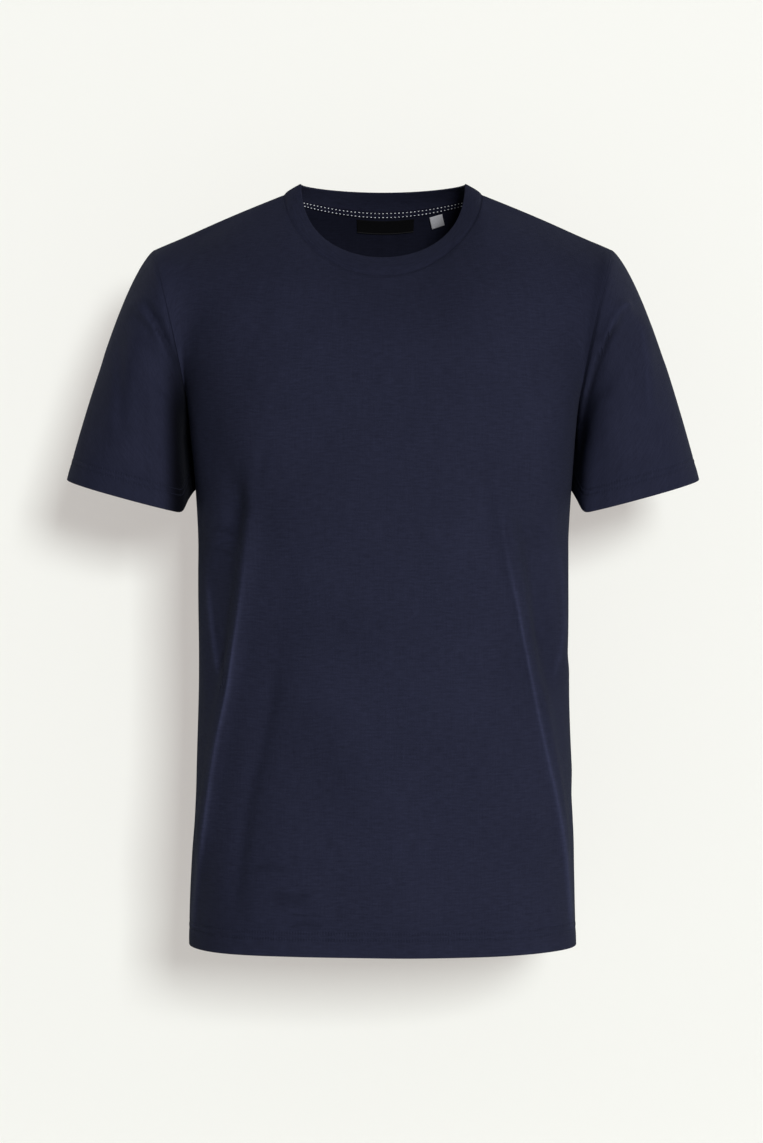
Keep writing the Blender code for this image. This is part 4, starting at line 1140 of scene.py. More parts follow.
# ================================================================ meshes
def wall_corners(rows, columns, closed):
    """(row, column, face) of every corner of a wall's quads: face 0 is the outer one and 1 the inner one."""
    last = columns if closed else columns - 1
    row, column = (part.ravel() for part in np.meshgrid(np.arange(rows - 1), np.arange(last), indexing="ij"))

    def quads(*corners):
        return np.stack([np.stack(np.broadcast_arrays(*corner), -1) for corner in corners], 1)

    outer = quads((row, column, 0), (row, column + 1, 0), (row + 1, column + 1, 0), (row + 1, column, 0))
    inner = outer[:, ::-1].copy()
    inner[..., 2] = 1
    c, top = np.arange(last), rows - 1
    parts = [
        outer,
        inner,
        quads((0, c + 1, 0), (0, c, 0), (0, c, 1), (0, c + 1, 1)),
        quads((top, c, 0), (top, c + 1, 0), (top, c + 1, 1), (top, c, 1)),
    ]
    if not closed:
        r, side = np.arange(rows - 1), columns - 1
        parts += [
            quads((r, 0, 0), (r + 1, 0, 0), (r + 1, 0, 1), (r, 0, 1)),
            quads((r + 1, side, 0), (r, side, 0), (r, side, 1), (r + 1, side, 1)),
        ]
    return np.concatenate(parts)


def enclosed(points, quads):
    """Six times the volume inside a closed mesh; below 0 where its faces point inwards."""
    a, b, c, d = (points[quads[:, k]] for k in range(4))
    return (a * np.cross(b, c)).sum() + (a * np.cross(c, d)).sum()


def add_wall(name, form, material):
    """A closed shell of cloth between the two faces of a form."""
    rows, columns = form.outer.shape[:2]
    corners = wall_corners(rows, columns, form.closed)
    points = np.concatenate([form.outer.reshape(-1, 3), form.inner.reshape(-1, 3)])
    quads = corners[..., 2] * rows * columns + corners[..., 0] * columns + corners[..., 1] % columns
    if enclosed(points, quads) < 0:
        corners, quads = corners[:, ::-1], quads[:, ::-1]
    mesh = bpy.data.meshes.new(name)
    mesh.from_pydata(points.tolist(), [], quads.tolist())
    up = form.up if form.up.shape[1] == form.across.shape[1] else np.hstack([form.up, form.up[:, :1]])
    flat = np.stack([form.across, up], axis=-1)
    mesh.uv_layers.new(name="cloth").data.foreach_set(
        "uv", flat[corners[..., 0], corners[..., 1]].astype(np.float32).ravel()
    )
    # shade carries painted shade (above 0) and painted light (below 0); on the inner face it is the painted
    # shade inside the shirt
    for label, outer, inner in (
        ("edge", form.edge, form.edge),
        ("shade", form.shade, form.inside),
        ("line", form.line, form.line),
        ("sharp", form.sharp, 0.0),
    ):
        both = [np.broadcast_to(values, (rows, columns)).ravel() for values in (outer, inner)]
        mesh.attributes.new(label, "FLOAT", "POINT").data.foreach_set(
            "value", np.concatenate(both).astype(np.float32)
        )
    return add_mesh(name, mesh, material)


def add_object(name, mesh):
    """A mesh as an object of the scene."""
    piece = bpy.data.objects.new(name, mesh)
    bpy.context.scene.collection.objects.link(piece)
    return piece


def add_mesh(name, mesh, material):
    """A smooth object with one material."""
    mesh.materials.append(material)
    mesh.shade_smooth()
    mesh.set_sharp_from_angle(angle=SHARP_ANGLE)
    return add_object(name, mesh)


def keep(piece, replaced=()):
    """Fixes a finished piece to the shirt."""
    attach(piece, "root")
    if replaced:
        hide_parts(*replaced)
    PIECES.append(piece)


# ================================================================ nodes
SOCKETS = {
    "Vector": "NodeSocketVector",
    "Colour": "NodeSocketColor",
    "Seed": "NodeSocketInt",
    "Material": "NodeSocketMaterial",
    "Geometry": "NodeSocketGeometry",
}


class Value:
    """The output of a node. Sums and products of values are new Math nodes in the same tree."""

    def __init__(self, output):
        self.output, self.tree = output, output.id_data

    def __add__(self, other):
        return calc("ADD", self, other)

    def __sub__(self, other):
        return calc("SUBTRACT", self, other)

    def __rsub__(self, other):
        return calc("SUBTRACT", other, self)

    def __mul__(self, other):
        return calc("MULTIPLY", self, other)

    def __truediv__(self, other):
        return calc("DIVIDE", self, other)


def feed(target, value):
    """Gives an input of a node a plain value, or joins another node's output to it."""
    if isinstance(value, Value):
        value.tree.links.new(value.output, target)
    else:
        target.default_value = value


def add_node(tree, kind, inputs=None, output=0, **settings):
    """One output of a new node with these inputs and settings."""
    node = tree.nodes.new(kind)
    for key, value in settings.items():
        setattr(node, key, value)
    for key, value in (inputs or {}).items():
        feed(node.inputs[key], value)
    return Value(node.outputs[output])


def calc(operation, *values):
    """A Math node with these values, of which at least one is a node's."""
    tree = next(value.tree for value in values if isinstance(value, Value))
    return add_node(tree, "ShaderNodeMath", dict(enumerate(values)), operation=operation)


def split(vector):
    """The first two parts of a vector."""
    first = add_node(vector.tree, "ShaderNodeSeparateXYZ", {0: vector})
    return first, Value(first.output.node.outputs[1])


def noise(vector, scale, detail=2.0):
    """Uneven values around 0.5."""
    inputs = {"Vector": vector, "Scale": scale, "Detail": detail}
    return add_node(vector.tree, "ShaderNodeTexNoise", inputs, "Fac")


def bell(value):
    """1 where the value is 0, and less on both sides of it."""
    return calc("EXPONENT", value * value * -1.0)


def arch(value):
    """1 where the value is 1, and 0 where it is 0 or 2."""
    return 1.0 - calc("POWER", calc("ABSOLUTE", value - 1.0), 2.0)


def scaled(colour, factor):
    """A colour times a factor."""
    return add_node(colour.tree, "ShaderNodeVectorMath", {0: colour, "Scale": factor}, operation="SCALE")


def new_group(name, inputs, outputs, kind="ShaderNodeTree"):
    """A node group with these inputs, their defaults and these outputs: the group, its inputs and its end."""
    group = bpy.data.node_groups.new(name, kind)
    for in_out, labels in (("INPUT", inputs), ("OUTPUT", dict.fromkeys(outputs))):
        for label, default in labels.items():
            socket = SOCKETS.get(label, "NodeSocketFloat")
            item = group.interface.new_socket(label, in_out=in_out, socket_type=socket)
            if default is not None:
                item.default_value = default
    start, end = group.nodes.new("NodeGroupInput"), group.nodes.new("NodeGroupOutput")
    return group, {label: Value(start.outputs[label]) for label in inputs}, end


def place_group(tree, group, **inputs):
    """All outputs of a node group placed in a tree with these inputs."""
    inputs = {label.replace("_", " "): value for label, value in inputs.items()}
    first = add_node(tree, "ShaderNodeGroup", inputs, node_tree=group)
    return [Value(output) for output in first.output.node.outputs]


# ================================================================ materials
@lru_cache(maxsize=None)
def knit_group():
    """Height of plain knit: columns of small V shapes."""
    group, given, end = new_group("knit", {"Vector": None, "Wale": 0.6, "Course": 0.5}, ["Height"])
    x, y = split(given["Vector"])
    across, up = x * 1000.0 / given["Wale"], y * 1000.0 / given["Course"]
    from_middle = calc("ABSOLUTE", calc("FRACT", across) - 0.5)
    loop = calc("FRACT", up + from_middle * 1.4)
    feed(end.inputs["Height"], arch(from_middle * 4.0) * (arch(loop * 2.0) * 0.5 + 0.5))
    return group


@lru_cache(maxsize=None)
def dye_group():
    """Slow and fine changes of a cloth's colour."""
    inputs = {"Vector": None, "Colour": None, "Unevenness": 0.1, "Fleck": 0.1}
    group, given, end = new_group("dye", inputs, ["Colour", "Fleck"])
    slow, fine = (noise(given["Vector"], *values) for values in DYE_NOISES)
    change = (slow - 0.5) * given["Unevenness"] + (fine - 0.5) * given["Fleck"]
    feed(end.inputs["Colour"], scaled(given["Colour"], change * 2.0 + 1.0))
    feed(end.inputs["Fleck"], fine)
    return group


@lru_cache(maxsize=None)
def yarn_group():
    """Uneven yarn: short streaks along the courses and long faint ones down the wales."""
    group, given, end = new_group(
        "yarn", {"Vector": None, "Courses": 0.2, "Wales": 0.1}, ["Factor", "Height"]
    )
    streaks = []
    for label, scale in STREAK_SCALES.items():
        place = add_node(group, "ShaderNodeVectorMath", {0: given["Vector"], 1: scale}, operation="MULTIPLY")
        streaks.append((noise(place, 1.0) - 0.5) * 2.0 * given[label])
    both = streaks[0] + streaks[1]
    feed(end.inputs["Factor"], both + 1.0)
    feed(end.inputs["Height"], both)
    return group


@lru_cache(maxsize=None)
def pucker_group():
    """Height of the small dimples that stitches draw into cloth, along two rows at these distances in mm."""
    inputs = {"Vector": None, "Distance": 0.0, "Row 1": 16.0, "Row 2": 22.0, "Pitch": 2.6}
    group, given, end = new_group("pucker", inputs, ["Height"])
    turn = split(given["Vector"])[0] * (2000.0 * math.pi) / given["Pitch"]
    away = given["Distance"] * 1000.0
    rows = [bell((away - given[label]) / PUCKER_BREADTH) for label in ("Row 1", "Row 2")]
    feed(end.inputs["Height"], (rows[0] + rows[1]) * (calc("SINE", turn) * 0.5 + 0.5) * -1.0)
    return group


@lru_cache(maxsize=None)
def line_group():
    """Height of a narrow ridge along a line, whose sharpness may be below 0 for a groove."""
    group, given, end = new_group(
        "sharp_line", {"Distance": 1.0, "Sharpness": 0.0, "Width": 3.0}, ["Height"]
    )
    away = given["Distance"] * 1000.0 / given["Width"]
    feed(end.inputs["Height"], bell(away) * given["Sharpness"])
    return group


def new_material(name, values):
    """A material whose shader has these plain values, its tree and the shader."""
    material = bpy.data.materials.new(name)
    material.use_nodes = True
    shader = material.node_tree.nodes["Principled BSDF"]
    for label, value in values.items():
        shader.inputs[label].default_value = value
    return material, material.node_tree, shader


def cloth_values(colour, roughness, sheen):
    """The plain values of a shader for cloth or thread."""
    return {
        "Base Color": (*colour, 1),
        "Roughness": roughness,
        "Metallic": 0,
        "Specular IOR Level": SPECULAR,
        "Sheen Weight": sheen,
        "Sheen Roughness": SHEEN_ROUGHNESS,
        "Sheen Tint": SHEEN_TINT,
    }


def attribute(tree, name):
    """A number that is kept at each point of the cloth."""
    return add_node(tree, "ShaderNodeAttribute", output="Fac", attribute_name=name)


def join_bump(shader, height, distance, normal=None):
    """Gives a shader a normal with this relief, on top of another normal. Returns the new normal."""
    inputs = {"Distance": distance, "Strength": 1.0, "Height": height}
    if normal:
        inputs["Normal"] = normal
    bumped = add_node(height.tree, "ShaderNodeBump", inputs)
    feed(shader.inputs["Normal"], bumped)
    return bumped


def knit_material(name, colour, roughness, sheen, weave, stitched=None):
    """Knitted cloth of this weave (wale, course, relief); stitched gives two rows' distances from the hem."""
    material, tree, shader = new_material(name, cloth_values(colour, roughness, sheen))
    uv = add_node(tree, "ShaderNodeUVMap", uv_map="cloth")
    place = add_node(tree, "ShaderNodeTexCoord", output="Object")
    dyed, fleck = place_group(tree, dye_group(), Vector=place, Colour=(*colour, 1), **CLOTH_DYE)
    yarn, slubs = place_group(tree, yarn_group(), Vector=uv, **STREAKS)
    shade, away, sharp = (attribute(tree, label) for label in ("shade", "line", "sharp"))
    (line,) = place_group(tree, line_group(), Distance=away, Sharpness=sharp, Width=LINE_WIDTH)
    # painted shade and painted light from the shade attribute, times the painted highlight along sharp edges
    # and painted shade along grooves
    shade = (1.0 - shade) * (line * LINE_PAINTED_LIGHT + 1.0)
    feed(shader.inputs["Base Color"], scaled(dyed, yarn * shade))
    feed(shader.inputs["Roughness"], fleck * FLECK_ROUGHNESS + (roughness - FLECK_ROUGHNESS / 2))
    (knit,) = place_group(tree, knit_group(), Vector=uv, Wale=weave[0], Course=weave[1])
    normal = join_bump(shader, line, LINE_HEIGHT)
    normal = join_bump(shader, knit + fleck * FLECK_HEIGHT + slubs * SLUB_HEIGHT, weave[2], normal)
    if stitched:
        pitch = bpy.context.scene.tshirt_stitches.pitch / MM
        rows = {"Row_1": stitched[0] / MM, "Row_2": stitched[1] / MM}
        edge = attribute(tree, "edge")
        (pucker,) = place_group(tree, pucker_group(), Vector=uv, Distance=edge, Pitch=pitch, **rows)
        join_bump(shader, pucker, PUCKER_DEPTH, normal)
    return material


def satin_material(name, colour, edge_colour, roughness):
    """Woven satin ribbon: fine threads across it, and a selvedge of another shade along its lower edge."""
    material, tree, shader = new_material(name, cloth_values(colour, roughness, SATIN_SHEEN))
    uv = add_node(tree, "ShaderNodeUVMap", uv_map="cloth")
    x, y = split(uv)
    warp = calc("SINE", x * (2 * math.pi / SATIN_WARP))
    weft = calc("SINE", y * (2 * math.pi / SATIN_WEFT))
    selvedge = 1.0 - calc("MINIMUM", attribute(tree, "edge") / SELVEDGE, 1.0)
    inputs = {"Factor": selvedge * SELVEDGE_SHARE, 6: (*colour, 1), 7: (*edge_colour, 1)}
    mixed = add_node(tree, "ShaderNodeMix", inputs, 2, data_type="RGBA")
    dyed = place_group(tree, dye_group(), Vector=uv, Colour=mixed, **SATIN_DYE)[0]
    feed(shader.inputs["Base Color"], dyed)
    join_bump(shader, warp * weft * 0.25 + 0.5, SATIN_RELIEF)
    return material


def thread_material(name, colour):
    """Twisted sewing thread."""
    material, tree, shader = new_material(name, cloth_values(colour, THREAD_ROUGHNESS, THREAD_SHEEN))
    place = add_node(tree, "ShaderNodeTexCoord", output="Object")
    bands = {"wave_type": "BANDS", "bands_direction": "DIAGONAL"}
    twist = add_node(tree, "ShaderNodeTexWave", {"Vector": place, **TWIST}, "Fac", **bands)
    dyed = place_group(tree, dye_group(), Vector=place, Colour=(*colour, 1), **THREAD_DYE)[0]
    feed(shader.inputs["Base Color"], dyed)
    join_bump(shader, twist, THREAD_RELIEF)
    return material


@lru_cache(maxsize=None)
def jersey_material(name):
    """Jersey, with puckers along the two rows of stitches above its hem."""
    cloth = bpy.context.scene.tshirt_cloth
    rows = NEEDLE_ROWS if name == "navy_jersey" else CUFF_NEEDLE_ROWS
    return knit_material(name, tuple(cloth.jersey), cloth.roughness, cloth.sheen, JERSEY_WEAVE, rows)


def rib_material():
    """Rib: broad columns of knit."""
    cloth = bpy.context.scene.tshirt_cloth
    return knit_material("navy_rib", tuple(cloth.rib), cloth.roughness, cloth.sheen, RIB_WEAVE)


# ================================================================ stitches
def stitch_shape(tree, given):
    """One stitch: a short arch of thread along X that dips into the cloth at both ends."""
    half, back = given["Length"] * 0.5, given["Length"] * -0.5
    sunk, raised = given["Radius"] * -STITCH_SUNK, given["Lift"] * 2.0
    points = {
        label: add_node(tree, "ShaderNodeCombineXYZ", {"X": x, "Z": z})
        for label, x, z in (("Start", back, sunk), ("Middle", 0.0, raised), ("End", half, sunk))
    }
    line = add_node(tree, "GeometryNodeCurveQuadraticBezier", {"Resolution": ARCH_STEPS, **points})
    ring = {"Resolution": THREAD_SIDES, "Radius": given["Radius"]}
    profile = add_node(tree, "GeometryNodeCurvePrimitiveCircle", ring)
    return add_node(
        tree, "GeometryNodeCurveToMesh", {"Fill Caps": True, "Curve": line, "Profile Curve": profile}
    )


def stitch_turn(tree):
    """The rotation that lays a stitch along its line and flat on the cloth."""
    tangent = add_node(tree, "GeometryNodeInputTangent")
    named = "GeometryNodeInputNamedAttribute"
    out = add_node(tree, named, {"Name": "out"}, "Attribute", data_type="FLOAT_VECTOR")
    align = "FunctionNodeAlignRotationToVector"
    lengthwise = add_node(tree, align, {"Vector": tangent}, axis="X")
    return add_node(tree, align, {"Rotation": lengthwise, "Vector": out}, axis="Z", pivot_axis="X")


def stitch_size(tree, given):
    """A stitch's scale, whose length is a little uneven."""
    share = add_node(tree, "FunctionNodeRandomValue", {"Seed": given["Seed"]}, data_type="FLOAT").output.node
    limits = [item for item in share.inputs if item.type == "VALUE"]
    feed(limits[0], 1.0 - given["Jitter"])
    feed(limits[1], given["Jitter"] + 1.0)
    random = next(Value(item) for item in share.outputs if item.type == "VALUE")
    return add_node(tree, "ShaderNodeCombineXYZ", {"X": random, "Y": 1.0, "Z": 1.0})


@lru_cache(maxsize=None)
def stitch_group():
    """Geometry nodes that lay stitches of thread along lines."""
    inputs = {"Geometry": None, **STITCH_DEFAULTS, "Material": None}
    tree, given, end = new_group("stitch_rows", inputs, ["Geometry"], "GeometryNodeTree")
    tree.is_modifier = True
    curve = add_node(tree, "GeometryNodeMeshToCurve", {"Mesh": given["Geometry"]})
    spaced = add_node(
        tree, "GeometryNodeResampleCurve", {"Curve": curve, "Length": given["Pitch"]}, mode="LENGTH"
    )
    stitch = {
        "Points": spaced,
        "Instance": stitch_shape(tree, given),
        "Rotation": stitch_turn(tree),
        "Scale": stitch_size(tree, given),
    }
    placed = add_node(tree, "GeometryNodeInstanceOnPoints", stitch)
    real = add_node(tree, "GeometryNodeRealizeInstances", {0: placed})
    thread = {"Geometry": real, "Material": given["Material"]}
    feed(end.inputs["Geometry"], add_node(tree, "GeometryNodeSetMaterial", thread))
    return tree


def line_mesh(name, lines):
    """Open lines of points, with the direction out of the cloth kept as an attribute."""
    mesh = bpy.data.meshes.new(name)
    points = np.concatenate([line for line, _ in lines])
    outs = np.concatenate([out for _, out in lines])
    edges, start = [], 0
    for line, _ in lines:
        edges += [(start + k, start + k + 1) for k in range(len(line) - 1)]
        start += len(line)
    mesh.from_pydata(points.tolist(), edges, [])
    mesh.attributes.new("out", "FLOAT_VECTOR", "POINT").data.foreach_set(
        "vector", outs.astype(np.float32).ravel()
    )
    return mesh


def add_stitches(name, lines, material, **values):
    """Stitches along lines as one plain mesh."""
    tree = stitch_group()
    holder = add_object(name + "_lines", line_mesh(name + "_lines", lines))
    modifier = holder.modifiers.new("stitches", "NODES")
    modifier.node_group = tree
    values["Material"] = material
    for item in tree.interface.items_tree:
        if item.in_out == "INPUT" and item.name in values:
            modifier[item.identifier] = values[item.name]
    graph = bpy.context.evaluated_depsgraph_get()
    mesh = bpy.data.meshes.new_from_object(holder.evaluated_get(graph))
    mesh.name = name
    bpy.data.objects.remove(holder)
    for polygon in mesh.polygons:
        polygon.use_smooth = True
    return add_object(name, mesh)


def nearest_row(distances, wanted):
    """The row whose distance is nearest to the wanted one."""
    return int(np.argmin(np.abs(distances - wanted)))


def hem_lines(forms):
    """Both rows of stitches above the hem, on each panel, with the direction out of the cloth."""
    rows = [nearest_row(ROWS, wanted) for wanted in NEEDLE_ROWS]
    return [(forms[name].outer[row], forms[name].normals[row]) for name in ("front", "back") for row in rows]


def cuff_lines(forms):
    """Both rows of stitches above each cuff."""
    steps, lines = np.array(SLEEVE_CUFF_STEPS) * MM, []
    for name in SLEEVES:
        for wanted in CUFF_NEEDLE_ROWS:
            row = nearest_row(steps, wanted) - len(steps)
            ring = (forms[name].outer[row], forms[name].normals[row])
            lines.append(tuple(np.concatenate([part, part[:1]]) for part in ring))
    return lines


def neck_lines(forms):
    """The row of stitches below the neck seam, on each panel."""
    lines = []
    for form in (forms["front"], forms["back"]):
        points, outs = [], []
        for column in range(NECK_1 + 1, NECK_2):
            line, out = form.outer[::-1, column], form.normals[::-1, column]
            points.append(values_at(line, line, NECK_ROW_DROP))
            outs.append(values_at(line, out, NECK_ROW_DROP))
        lines.append((np.array(points), unit(np.array(outs))))
    return lines


def tape_lines(forms):
    """The two rows of stitches along the neck tape."""
    tape, lines = tape_form(forms["back"]), []
    distances = -tape.up[:, 0]
    for wanted in TAPE_DASHES:
        share = np.interp(wanted - TAPE_TOP, distances, np.arange(len(distances)))
        low, mix = int(share), share - int(share)
        lines.append((tape.outer[low] * (1 - mix) + tape.outer[low + 1] * mix, tape.normals[low]))
    return lines


# ================================================================ neck trim
def trim_point(form, column, distance):
    """A point of a panel's inner face this far below its upper edge, and the direction into the shirt."""
    low = int(min(column, form.inner.shape[1] - 2))
    mix = column - low
    line, out = (
        part[::-1, low] * (1 - mix) + part[::-1, low + 1] * mix for part in (form.inner, form.normals)
    )
    return values_at(line, line, distance), unit(values_at(line, -out, distance))


def column_at(form, across):
    """The fractional column of a panel where a row near its upper edge crosses this x."""
    return float(np.interp(across, form.inner[TRIM_ROW, :, 0], np.arange(form.inner.shape[1])))


def trim_form(places, lift, wall, edge_reach):
    """A thin piece on the inner face: places is a net of (point, inwards), and its edges are rounded."""
    points, inwards = (np.array([[place[k] for place in row] for row in places]) for k in range(2))
    up, across = lengths_along(points, 0), lengths_along(points, 1)
    to_side = np.minimum(across, across[:, -1:] - across)
    to_end = np.minimum(up, up[-1:] - up)
    half = rounded(np.minimum(to_side, to_end), wall / 2, edge_reach, TRIM_EDGE_LEFT)
    middle = lift + wall / 2
    far = points + inwards * (middle + half)[..., None]
    near = points + inwards * (middle - half)[..., None]
    return Form(far, near, inwards, False, across, -up, up[-1:] - up)


def trim_steps(count):
    """Shares from 0 to 1, closer together at both ends."""
    middle = np.linspace(0, 1, count + 1)[1:-1]
    near = np.array(TRIM_ENDS) / max(1, count / TAB_STEPS)
    return np.concatenate([[0], near, middle, 1 - near[::-1], [1]])


def tape_form(back):
    """The tape over the back neck seam."""
    ends = (SHOULDER_COLUMNS + TAPE_INSET, SHOULDER_COLUMNS + NECK_COLUMNS - TAPE_INSET)
    first, last = np.interp(ends, COLUMNS, np.arange(len(COLUMNS)))
    downs, sides = (trim_steps(count) for count in TAPE_STEPS)
    distances, columns = TAPE_TOP + TAPE_WIDTH * downs, first + (last - first) * sides
    places = [[trim_point(back, column, distance) for column in columns] for distance in distances]
    return trim_form(places, TRIM_SEAT, TAPE_WALL, TAPE_EDGE)


def label_form(back):
    """The label, whose lower edge hangs free."""
    width, height = LABEL_SIZE
    downs, sides = (trim_steps(count) for count in LABEL_STEPS)
    columns = [column_at(back, LABEL_MIDDLE + (side - 0.5) * width) for side in sides]
    places = [[trim_point(back, column, LABEL_DROP + down * height) for column in columns] for down in downs]
    hang = LABEL_HANG * eased(downs)[:, None] * np.ones(len(sides))
    return trim_form(places, TRIM_SEAT + hang, LABEL_WALL, LABEL_EDGE)


def tab_corner(back, right, down):
    """A corner of the size tab, and the direction into the shirt."""
    x, drop = right * TAB_SIZE[0], down * TAB_SIZE[1]
    across = TAB_TOP_CORNER[0] + x * math.cos(TAB_TILT) + drop * math.sin(TAB_TILT)
    below = TAB_TOP_CORNER[1] - x * math.sin(TAB_TILT - TAB_SEAM_TILT) + drop * math.cos(TAB_TILT)
    return trim_point(back, column_at(back, across), below)


def between(corners, right, down):
    """A point between four corners, and the direction there."""
    weights = ((1 - right) * (1 - down), right * (1 - down), (1 - right) * down, right * down)
    point, way = (sum(corner[k] * weight for corner, weight in zip(corners, weights)) for k in range(2))
    return point, unit(way)


def tab_form(back):
    """The size tab, a folded bit of ribbon that hangs a little askew."""
    corners = [tab_corner(back, right, down) for down in (0, 1) for right in (0, 1)]
    steps = trim_steps(TAB_STEPS)
    places = [[between(corners, right, down) for right in steps] for down in steps]
    bulge = TAB_BULGE * np.outer(np.sin(math.pi * steps), np.ones(len(steps)))
    return trim_form(places, TAB_LIFT + bulge, TAB_WALL, TAB_EDGE)


# ================================================================ settings
def metres(name, description, default):
    """A setting that is a length."""
    return FloatProperty(name=name, description=description, default=default, unit="LENGTH")


def tint(name, description, default):
    """A setting that is a colour."""
    return FloatVectorProperty(name=name, description=description, default=default, subtype="COLOR")


def factor(name, description, default):
    """A setting from 0 to 1."""
    return FloatProperty(name=name, description=description, default=default, min=0, max=1, subtype="FACTOR")


def amount(name, description, default):
    """A setting from 0 up."""
    return FloatProperty(name=name, description=description, default=default, min=0)


class ShirtCloth(bpy.types.PropertyGroup):
    """Sizes and colours of the cloth."""

    wall: metres("Cloth wall", "Thickness of the jersey", 0.0009)
    hem_wall: metres("Hem wall", "Thickness of the doubled hems", 0.0018)
    collar_wall: metres("Collar wall", "Thickness of the folded rib", 0.0021)
    crease_depth: FloatProperty(
        name="Crease depth", description="How deep the finer creases are", default=1.0, min=0, max=2
    )
    ripple: metres("Ripples", "Height of the slow waves in the cloth", 0.0007)
    jersey: tint("Jersey", "Colour of the body and sleeves", (0.0135, 0.0149, 0.0296))
    rib: tint("Rib", "Colour of the collar", (0.013, 0.0144, 0.0289))
    tape: tint("Neck tape", "Colour of the neck tape", (0.0115, 0.0125, 0.026))
    roughness: factor("Roughness", "Roughness of the jersey", 0.82)
    sheen: factor("Sheen", "Soft shine of the jersey's fibres", 0.015)


class ShirtStitches(bpy.types.PropertyGroup):
    """Sizes and colours of the stitches."""

    pitch: metres("Stitch pitch", "From one stitch to the next", 0.0026)
    length: metres("Stitch length", "Length of thread that shows", 0.0021)
    radius: metres("Thread radius", "Half the thread's thickness", 0.00019)
    tape_pitch: metres("Tape pitch", "From one stitch of the neck tape to the next", 0.0039)
    thread: tint("Thread", "Colour of the sewing thread", (0.0115, 0.0128, 0.0265))
    tape_thread: tint("Tape thread", "Colour of the neck tape's thread", (0.8, 0.82, 0.86))


class ShirtStage(bpy.types.PropertyGroup):
    """The studio round the shirt."""

    backdrop: tint("Backdrop", "Colour of the floor and the wall", (0.487, 0.52, 0.496))
    glow: amount("Glow", "Light that the paper gives off itself", 0.463)
    key: amount("Key light", "Power of the key light", 1335.0)
    side: amount("Rim lights", "Power of the strips behind both sides", 3.8)
    low: amount("Low light", "Power of the low front light", 60.0)
    fill: amount("Fill", "Strength of the light from all round", 0.17)


# ================================================================ operators
class TSHIRT_OT_panels(bpy.types.Operator):
    """Build the front and the back of the shirt."""

    bl_idname = "tshirt.panels"
    bl_label = "Front and back"

    def execute(self, context):
        for name, area in (("front", 0.338), ("back", 0.353)):
            piece = add_wall(name + "_cloth", shirt_forms()[name], jersey_material("navy_jersey"))
            keep(piece, [name])
        return {"FINISHED"}


class TSHIRT_OT_sleeves(bpy.types.Operator):
    """Build both sleeves."""

    bl_idname = "tshirt.sleeves"
    bl_label = "Sleeves"

    def execute(self, context):
        for name in SLEEVES:
            piece = add_wall(name + "_cloth", shirt_forms()[name], jersey_material("navy_sleeve"))
            keep(piece, [name])
        return {"FINISHED"}


class TSHIRT_OT_collar(bpy.types.Operator):
    """Build the ribbed collar."""

    bl_idname = "tshirt.collar"
    bl_label = "Collar"

    def execute(self, context):
        piece = add_wall("collar_rib", shirt_forms()["collar"], rib_material())
        keep(piece, ["collar"])
        return {"FINISHED"}


class TSHIRT_OT_trim(bpy.types.Operator):
    """Build the neck tape, the label and the size tab."""

    bl_idname = "tshirt.trim"
    bl_label = "Neck trim"

    def execute(self, context):
        back = shirt_forms()["back"]
        cloth = context.scene.tshirt_cloth
        tape = knit_material("neck_tape", tuple(cloth.tape), TAPE_ROUGHNESS, TAPE_SHEEN, TAPE_WEAVE)
        black, silver = (satin_material(name, *values) for name, values in SATINS.items())
        for name, form, material, slot, node, flat, area in (
            ("neck_tape_cloth", tape_form(back), tape, "navy_jersey", "neck_tape", (0.218, 0.01), 0.00153),
            ("label_satin", label_form(back), black, "black_satin", "neck_label", (0.057, 0.014), None),
            ("tab_satin", tab_form(back), silver, "silver_satin", "size_tab", (0.0126, 0.0146), None),
        ):
            piece = add_wall(name, form, material)
            keep(piece, [node])
        return {"FINISHED"}


class TSHIRT_OT_stitches(bpy.types.Operator):
    """Sew the hems, the neck and the neck tape."""

    bl_idname = "tshirt.stitches"
    bl_label = "Stitches"

    def execute(self, context):
        forms, sewing = shirt_forms(), context.scene.tshirt_stitches
        navy = thread_material("navy_thread", tuple(sewing.thread))
        white = thread_material("white_thread", tuple(sewing.tape_thread))
        size = {"Pitch": sewing.pitch, "Length": sewing.length, "Radius": sewing.radius, "Lift": STITCH_LIFT}
        for name, lines, thread, values in (
            ("stitches_hem", hem_lines(forms), navy, size),
            ("stitches_cuffs", cuff_lines(forms), navy, size),
            ("stitches_neck", neck_lines(forms), navy, size),
            ("stitches_tape", tape_lines(forms), white, {"Pitch": sewing.tape_pitch, **TAPE_STITCH}),
        ):
            piece = add_stitches(name, lines, thread, **values)
            keep(piece)
        return {"FINISHED"}


class TSHIRT_OT_stage(bpy.types.Operator):
    """Set up the floor, the wall, the lights and the camera."""

    bl_idname = "tshirt.stage"
    bl_label = "Studio"

    def execute(self, context):
        values = context.scene.tshirt_stage
        backdrop = add_backdrop(tuple(values.backdrop), values.glow)
        backdrop.visible_shadow = False  # lights behind the paper still reach the shirt
        add_world(values.fill)
        for light in LIGHTS:
            add_light(light, getattr(values, light.setting) * light.share)
        add_camera()
        return {"FINISHED"}


class TSHIRT_PT_pieces(bpy.types.Panel):
    """Lists the shirt's pieces and settings."""

    bl_label = "Crew neck t-shirt"
    bl_idname = "TSHIRT_PT_pieces"
    bl_space_type = "VIEW_3D"
    bl_region_type = "UI"
    bl_category = "T-shirt"

    def draw(self, context):
        for operator in OPERATORS:
            self.layout.operator(operator.bl_idname)
        for name in SETTINGS:
            group = getattr(context.scene, name)
            for key in group.__annotations__:
                self.layout.prop(group, key)


